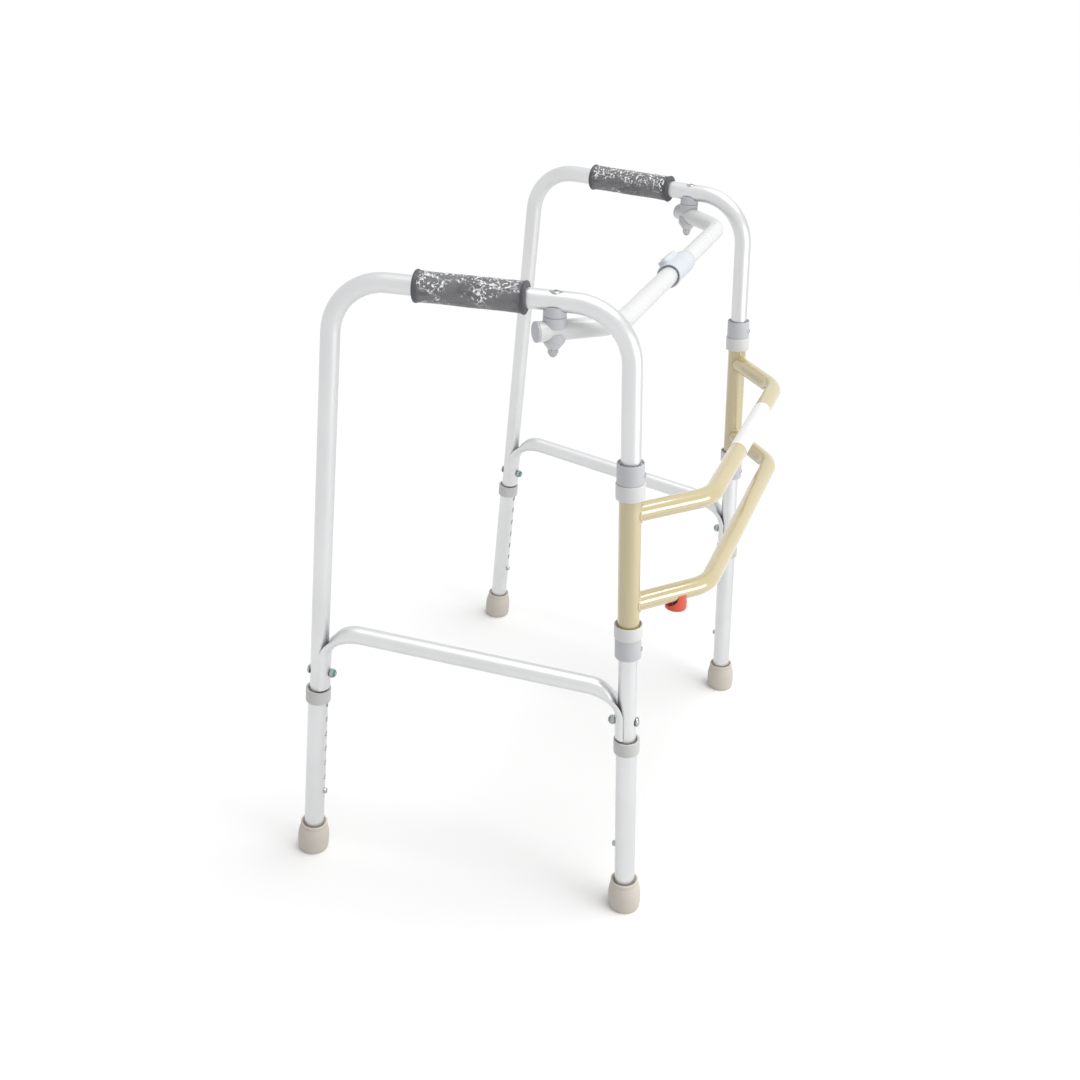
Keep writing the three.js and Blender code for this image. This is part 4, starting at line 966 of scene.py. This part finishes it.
def leaf(name, back):
    """A folded strip, from its outline in the plane across the leg."""
    near, half_thick, half_wide = back + 0.4, 0.4, 3
    line = [(near, 7.5), (near, -7.5), (near - 1.6, -15.4), (near - 3.4, -15.4), (near - 4.6, -12),
            (near - 8.2, 13)]
    line = [Vector(point) for point in line]
    vertices, faces = [], []
    for i, here in enumerate(line):
        way = line[min(i + 1, len(line) - 1)] - line[max(i - 1, 0)]
        off = Vector((-way.y, way.x)).normalized() * half_thick
        for x in (-half_wide, half_wide):
            vertices += [(mm(x), mm(q.x), mm(q.y)) for q in (here + off, here - off)]
    last = 4 * (len(line) - 1)
    for a in range(0, last, 4):
        b = a + 4
        faces += [(a, b, b + 2, a + 2), (a + 1, a + 3, b + 3, b + 1), (a, a + 1, b + 1, b),
                  (a + 2, b + 2, b + 3, a + 3)]
    faces += [(0, 2, 3, 1), (last, last + 1, last + 3, last + 2)]
    return mesh_from(name, vertices, faces)


def snap_button(side, end):
    rows = [(0, PIN_BACK), (4.5, PIN_BACK), (4.5, 8.0), (3.7, 8.2), (3.7, 14.6), (3.45, 15.3), (2.8, 15.9),
            (1.6, 16.25), (0, 16.3)]
    made = placed(turned(f"{side}_{end}_snap_pin", rows), Matrix.Rotation(-math.pi / 2, 4, "X"))
    joined(made, leaf("leaf", PIN_BACK))
    placed(smooth(made), HANDS[side] @ LEGS[end] @ Matrix.Translation((0, 0, LOWEST_HOLE)))
    return dressed(made, zinc_plate, f"{side}_{end}_snap", "steel", f"{side}_{end}_snap_button")


for side in HANDS:
    for end in LEGS:
        print(snap_button(side, end).name)

# %% [markdown]
# ## Swing bar pivots
# Between the rail and the bar sit two plastic saddles. Each is a disc hollowed on one side to fit its tube,
# and they turn on each other where their flat faces meet. A third saddle and an acorn nut close the stack
# from below. Each is a turned blank with the tube's shape cut away, which is how such a part is designed.

# %% Saddles, bolt and acorn nut
def saddle(name, rows, tube_way, tube_z):
    made = placed(turned(name, rounded(rows, 0.7)), PIVOT_XY)
    hollow = rod(TUBE_SEAT, -40, 40, aim(Vector((PIVOT.x, PIVOT.y, tube_z)), tube_way), 64)
    return smooth(cut(made, hollow, rod(BOLT_HOLE, 650, 820, PIVOT_XY)), 35)


def disc(low, high, radius=12.5):
    return [(0, low), (radius, low), (radius, high), (0, high)]


def pivot_set(side):
    out = []
    body, bar_body = side + "_side", side + "_bar"
    foot_of_stack = [(0, 733.6), (6.25, 733.6), (12.5, 742.2), (12.5, 752), (0, 752)]
    for node, rides, rows, tube_way, tube_z in (
            ("rail_saddle", body, disc(769.75, 781.0), RAIL_WAY, PIVOT.z),
            ("bar_saddle", bar_body, disc(758.2, 769.45), ARM, BAR_Z),
            ("lower_saddle", bar_body, foot_of_stack, ARM, BAR_Z)):
        made = placed(saddle(f"{side}_{node}_skin", rows, tube_way, tube_z), HANDS[side])
        out.append(dressed(made, grey_plastic, rides, "grey_plastic", f"{side}_{node}"))
    head_at = HANDS[side] @ PIVOT_XY @ Matrix.Translation((0, 0, mm(HEAD_SEAT)))
    head = placed(bolt(side + "_pivot_bolt_skin", 65.75), head_at)
    out.append(dressed(head, zinc_plate, body, "steel", side + "_pivot_bolt"))
    dome = turned("dome", [(0, 3.4), (4.7, 3.4), (4.7, 5.0), (4.4, 6.3), (3.6, 7.6), (2.2, 8.6), (0, 9.0)])
    made = cut(joined(hexagon("acorn", 0, 4.5), dome), rod(BOLT_HOLE, -2, 6))
    made.name = side + "_acorn_skin"
    flip = Matrix.Translation((PIVOT.x, PIVOT.y, mm(733.3))) @ Matrix.Rotation(math.pi, 4, "X")
    placed(smooth(made), HANDS[side] @ flip)
    out.append(dressed(made, zinc_plate, body, "steel", side + "_acorn_nut"))
    return out


for side in HANDS:
    print([made.name for made in pivot_set(side)])

# %% [markdown]
# ## Swing bar halves
# Each half is a bent tube with a plug pressed in its outer end. The halves meet at the middle of the
# walker, inside the coupling.

# %% Bar halves and plugs
TAIL = BAR_PIVOT + ARM * mm(19)


def bar_half(side):
    path = [TAIL, BAR_BEND, WALKER @ Vector((mm(0.5), BAR_BACK, BAR_Z))]
    made = tube(side + "_bar_tube", bent_path(path, mm(55)), white_enamel)
    cut(made, rod(BOLT_HOLE, 650, 820, PIVOT_XY))
    placed(smooth(made), HANDS[side])
    return dressed(made, white_enamel, side + "_bar", "white_paint", side + "_bar_half")


def bar_plug(side):
    rows = rounded([(0, -9), (8.7, -9), (8.7, 0.3), (11.3, 0.3), (11.3, 2.6), (0, 2.6)], 0.7)
    made = placed(smooth(turned(side + "_bar_end_plug", rows)), HANDS[side] @ aim(TAIL, ARM))
    return dressed(made, grey_plastic, side + "_bar", "grey_plastic", side + "_bar_plug")


for side in HANDS:
    print(bar_half(side).name, bar_plug(side).name)

# %% [markdown]
# ## The coupling
# A moulded sleeve holds the two halves in line. It slides along the left half to let the right one go. A
# hump with a thumb button faces up and to the rear, toward the user's hand. The blank is turned, the hump
# is a slab with round ends grown out of it, and the button's well is cut last.

# %% Coupling and its button
SLAB_MIDDLE = 4.0
TO_USER = WALKER @ Matrix.Translation((0, BAR_BACK, BAR_Z)) @ Matrix.Rotation(-math.pi / 4, 4, "X")


def slab(name, length, width, low, high, ease):
    """A slab with round ends, long in X, its top edge eased by a bevel."""
    radius, half = width / 2, length / 2 - width / 2
    outline = []
    for sign, base in ((1, -90), (-1, 90)):
        for k in range(13):
            a = math.radians(base + 15 * k)
            outline.append((sign * half + radius * math.cos(a), radius * math.sin(a)))
    steps = [(0.0, low), (0.0, high - ease)]
    for a in (22.5, 45, 67.5, 90):
        a = math.radians(a)
        steps.append((ease * (1 - math.cos(a)), high - ease * (1 - math.sin(a))))
    vertices, faces = [], []
    for inset, z in steps:
        for x, y in outline:
            away = Vector((math.copysign(max(0, abs(x) - half), x), y))
            away = away.normalized() * inset if away.length else away
            vertices.append((mm(SLAB_MIDDLE + x - away.x), mm(y - away.y), mm(z)))
    n, top = len(outline), (len(steps) - 1) * len(outline)
    for low_ring in range(0, top, n):
        for k in range(n):
            a, b = low_ring + k, low_ring + (k + 1) % n
            faces.append((a, b, b + n, a + n))
    faces += [tuple(range(n - 1, -1, -1)), tuple(range(top, top + n))]
    return mesh_from(name, vertices, faces)


def coupling():
    along = Matrix.Rotation(math.pi / 2, 4, "Y")
    rows = [(TUBE_SEAT, -26.2), (13.0, -27.2), (13.4, -30), (14.8, -30), (14.8, -25), (14, -23.6), (14, 40),
            (13.64, 43), (12.0, 43), (12.0, 45.2), (13.38, 45.2), (12.8, 50), (12.1, 50), (11.9, 48.2),
            (TUBE_SEAT, 46.8)]
    made = placed(turned("coupling_shell", rounded(rows, 0.6), 72), along)
    joined(made, slab("hump", 46, 15, 11.6, 19.6, 1.6))
    cut(made, slab("well", 26, 8.4, 14.3, 26, 0.1))
    placed(smooth(made, 35), TO_USER)
    return dressed(made, blue_plastic, "coupling", "pale_plastic", "coupling")


def thumb_button():
    made = slab("thumb_button", 25.4, 7.8, 16.7, 20.4, 0.8)
    cut(made, placed(mesh_box("slot", (11, 1.8, 2)), Matrix.Translation((mm(SLAB_MIDDLE), 0, mm(20.4)))))
    placed(smooth(made, 35), TO_USER)
    return dressed(made, blue_plastic, "coupling_thumb", "pale_plastic", "coupling_button")


print(coupling().name, thumb_button().name)

# %% [markdown]
# ## The red release button
# The red cap straddles the underside of the right arm of the lower front tube. A stem goes up through a
# hole in the tube, and a coil spring round it pushes the cap back down.

# %% Red button and its spring
RED_START, red_bend = front_corners(-1, LOWER_TUBE_Z)
RED_WAY = (red_bend - RED_START).normalized()
RED_INBOARD, STEM = mm(51), 3
RED_AT = Matrix.Translation(RED_START + RED_WAY * (RED_INBOARD / RED_WAY.x)) @ Matrix.Rotation(
    math.atan2(RED_WAY.y, RED_WAY.x), 4, "Z")


def red_button():
    rows = rounded([(0, -21.1), (12.8, -21.1), (12.8, 0), (0, 0)], 1.4)
    made = turned("red_cap", rows, 64)
    along = Matrix.Rotation(math.pi / 2, 4, "Y")
    trough = placed(rod(TUBE_SEAT, -30, 30, sides=64), Matrix.Translation((0, 0, mm(-4.3))) @ along)
    slot = placed(mesh_box("slot", (60, 22.8, 12)), Matrix.Translation((0, 0, mm(1.7))))
    cut(made, trough, slot, rod(5.6, -17.7, 0))
    joined(made, rod(STEM, -19.5, -3.9))
    placed(smooth(made, 35), RED_AT)
    return dressed(made, red_plastic, "red_release", "red_plastic", "red_button")


def spring_tree():
    tree, given, out = geometry_group("coil spring", Turns=("Float", 2.0), Coil_Radius=("Float", mm(4.75)),
                                      Height=("Float", mm(5)), Wire_Radius=("Float", mm(0.55)))
    coil = added(tree, "GeometryNodeCurveSpiral", {
        "Rotations": given["Turns"], "Height": given["Height"], "Start Radius": given["Coil Radius"],
        "End Radius": given["Coil Radius"], "Resolution": 40})
    wire = added(tree, "GeometryNodeCurvePrimitiveCircle", {"Radius": given["Wire Radius"], "Resolution": 12})
    sweep = added(tree, "GeometryNodeCurveToMesh", {
        "Curve": coil["Curve"], "Profile Curve": wire["Curve"], "Fill Caps": True})
    return real_and_painted(tree, given, out, sweep["Mesh"])


def red_spring():
    blank = piece("blank", bpy.data.meshes.new("blank"))
    made = baked("red_return_spring", blank, spring_tree(), Finish=zinc_plate)
    placed(smooth(made), RED_AT @ Matrix.Translation((0, 0, mm(-17.0))))
    dressed(made, zinc_plate, "front_frame", "steel", "red_button_spring")
    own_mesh(made)
    return made


print(red_button().name, red_spring().name)

# %% [markdown]
# ## Screws in the rings, and the bare label
# A small screw holds each fixed ring to its leg. On the upper front tube there is a white label sleeve; it
# is left bare here, as plain wrapped paper.

# %% Ring screws
def ring_screw(side, label, height):
    rows = [(0, 14.8), (2.9, 14.8), (2.9, 15.9), (2.3, 16.5), (1.2, 16.8), (0, 16.85)]
    made = turned(f"{side}_{label}_screw", rows)
    cut(made, *crossed_slots((3.2, 0.7, 1.4), 16.8, 0.5))
    forward = SIDE @ FRONT_LEG @ Matrix.Translation((0, 0, mm(height))) @ Matrix.Rotation(math.pi / 2, 4, "X")
    placed(smooth(made), HANDS[side] @ forward)
    return dressed(made, zinc_plate, side + "_side", "steel")


for side in HANDS:
    print(ring_screw(side, "upper", 603).name, ring_screw(side, "lower", 384).name)

# %% Bare label
def label_sleeve():
    middle = front_corners(1, UPPER_TUBE_Z)[1]
    middle.x = mm(24)
    rows = [(11.15, -74), (11.4, -74), (11.4, 74), (11.15, 74)]
    made = placed(smooth(turned("label_wrap", rows, 64)), aim(middle, Vector((1, 0, 0))))
    return dressed(made, paper_label, "front_frame", "white_paint")


paper_label = finish("paper label", [(0.86, 0.86, 0.85), (0.83, 0.83, 0.82)], (0.35, 0.5), bump=0.02)
print(label_sleeve().name)

# %% [markdown]
# ## Floor and light
# The photograph is a product picture: white all round, bright and soft, with the tubes bright on the
# walker's front side and light grey on the other. A wide pale floor and an even sky make the white; a broad
# sun, almost overhead, lights floor and object alike and leaves a faint shadow; and one soft box in front
# of the walker brightens that side of every tube and draws the long highlight along the enamel. Floor and
# sky look whiter than the light that they bounce: a white room would wash out the pale tubes.

# %% Floor and light
def seen_or_bounced(tree, bounced, seen):
    """One value for light that bounces, another where the camera, a gloss or a clear film looks."""
    rays = tree.nodes.new("ShaderNodeLightPath").outputs
    direct = combined(tree, "MAXIMUM", rays["Is Camera Ray"], rays["Is Glossy Ray"])
    direct = combined(tree, "MAXIMUM", direct, rays["Is Transmission Ray"])
    return ranged(tree, direct, 0.0, 1.0, bounced, seen)


def backdrop_material():
    material = bpy.data.materials.new("studio paper")
    material.use_nodes = True
    tree = material.node_tree
    skin = tree.nodes["Principled BSDF"]
    linked(tree, (seen_or_bounced(tree, 0.70, 0.93), skin.inputs["Base Color"]))
    skin.inputs["Roughness"].default_value = 0.9
    return material


def floor(reach=60.0):
    corners = [(-reach, -reach, 0), (reach, -reach, 0), (reach, reach, 0), (-reach, reach, 0)]
    made = mesh_from("studio_floor", corners, [(0, 1, 2, 3)])
    made.data.materials.append(backdrop_material())
    return made


def lamp_at(name, kind, place, target, **settings):
    lamp = bpy.data.lights.new(name, kind)
    for label, value in settings.items():
        setattr(lamp, label, value)
    made = piece(name, lamp)
    made.location = place
    made.rotation_mode = "QUATERNION"
    made.rotation_quaternion = (Vector(target) - Vector(place)).to_track_quat("-Z", "Y")
    made.visible_camera = False
    return made


def sky(bounced, seen):
    world = bpy.data.worlds.new("studio")
    world.use_nodes = True
    bpy.context.scene.world = world
    tree = world.node_tree
    back = tree.nodes["Background"]
    back.inputs["Color"].default_value = (1, 1, 1, 1)
    linked(tree, (seen_or_bounced(tree, bounced, seen), back.inputs["Strength"]))


floor()
sky(0.5, 1.0)
lamp_at("overhead", "SUN", (0.3, -1.0, 4.0), (0, 0, 0.4), energy=1.9, angle=math.radians(40))
lamp_at("front_box", "AREA", (-0.35, -2.1, 0.75), (0, 0, 0.42), energy=12, shape="RECTANGLE", size=1.2,
        size_y=0.8)
bpy.context.scene.view_settings.view_transform = "Standard"

# %% [markdown]
# ## Camera
# The viewpoint was solved from the outline of the walker in the photograph, so the same corners fall on the
# same pixels here. A little lens shift takes up the picture's centre.

# %% Camera
CAMERA_PLACE = (-1.50602, -0.27854, 1.18636)
CAMERA_TURN = (-70.255, 26.943, 2.525)  # azimuth, elevation and roll, in degrees
PICTURE, FOCAL, CENTRE = 1080, 1287.1, (520.70, 518.94)  # in the photograph's pixels
SENSOR = 36


def camera():
    lens = bpy.data.cameras.new("camera")
    made = piece("camera", lens)
    azimuth, elevation, roll = [math.radians(angle) for angle in CAMERA_TURN]
    forward = Vector((-math.sin(azimuth) * math.cos(elevation), math.cos(azimuth) * math.cos(elevation),
                      -math.sin(elevation)))
    right = Vector((forward.y, -forward.x, 0)).normalized()
    up = right.cross(forward)
    rolled_right = right * math.cos(roll) + up * math.sin(roll)
    rolled_up = up * math.cos(roll) - right * math.sin(roll)
    turn = Matrix((rolled_right, rolled_up, -forward)).transposed().to_4x4()
    made.matrix_world = WALKER @ Matrix.Translation(CAMERA_PLACE) @ turn
    lens.sensor_width = SENSOR
    lens.lens = FOCAL / PICTURE * SENSOR
    middle = PICTURE / 2
    lens.shift_x, lens.shift_y = (middle - CENTRE[0]) / PICTURE, (CENTRE[1] - middle) / PICTURE
    lens.clip_start, lens.clip_end = 0.05, 50
    bpy.context.scene.camera = made
    return made


print("camera lens", round(camera().data.lens, 2))
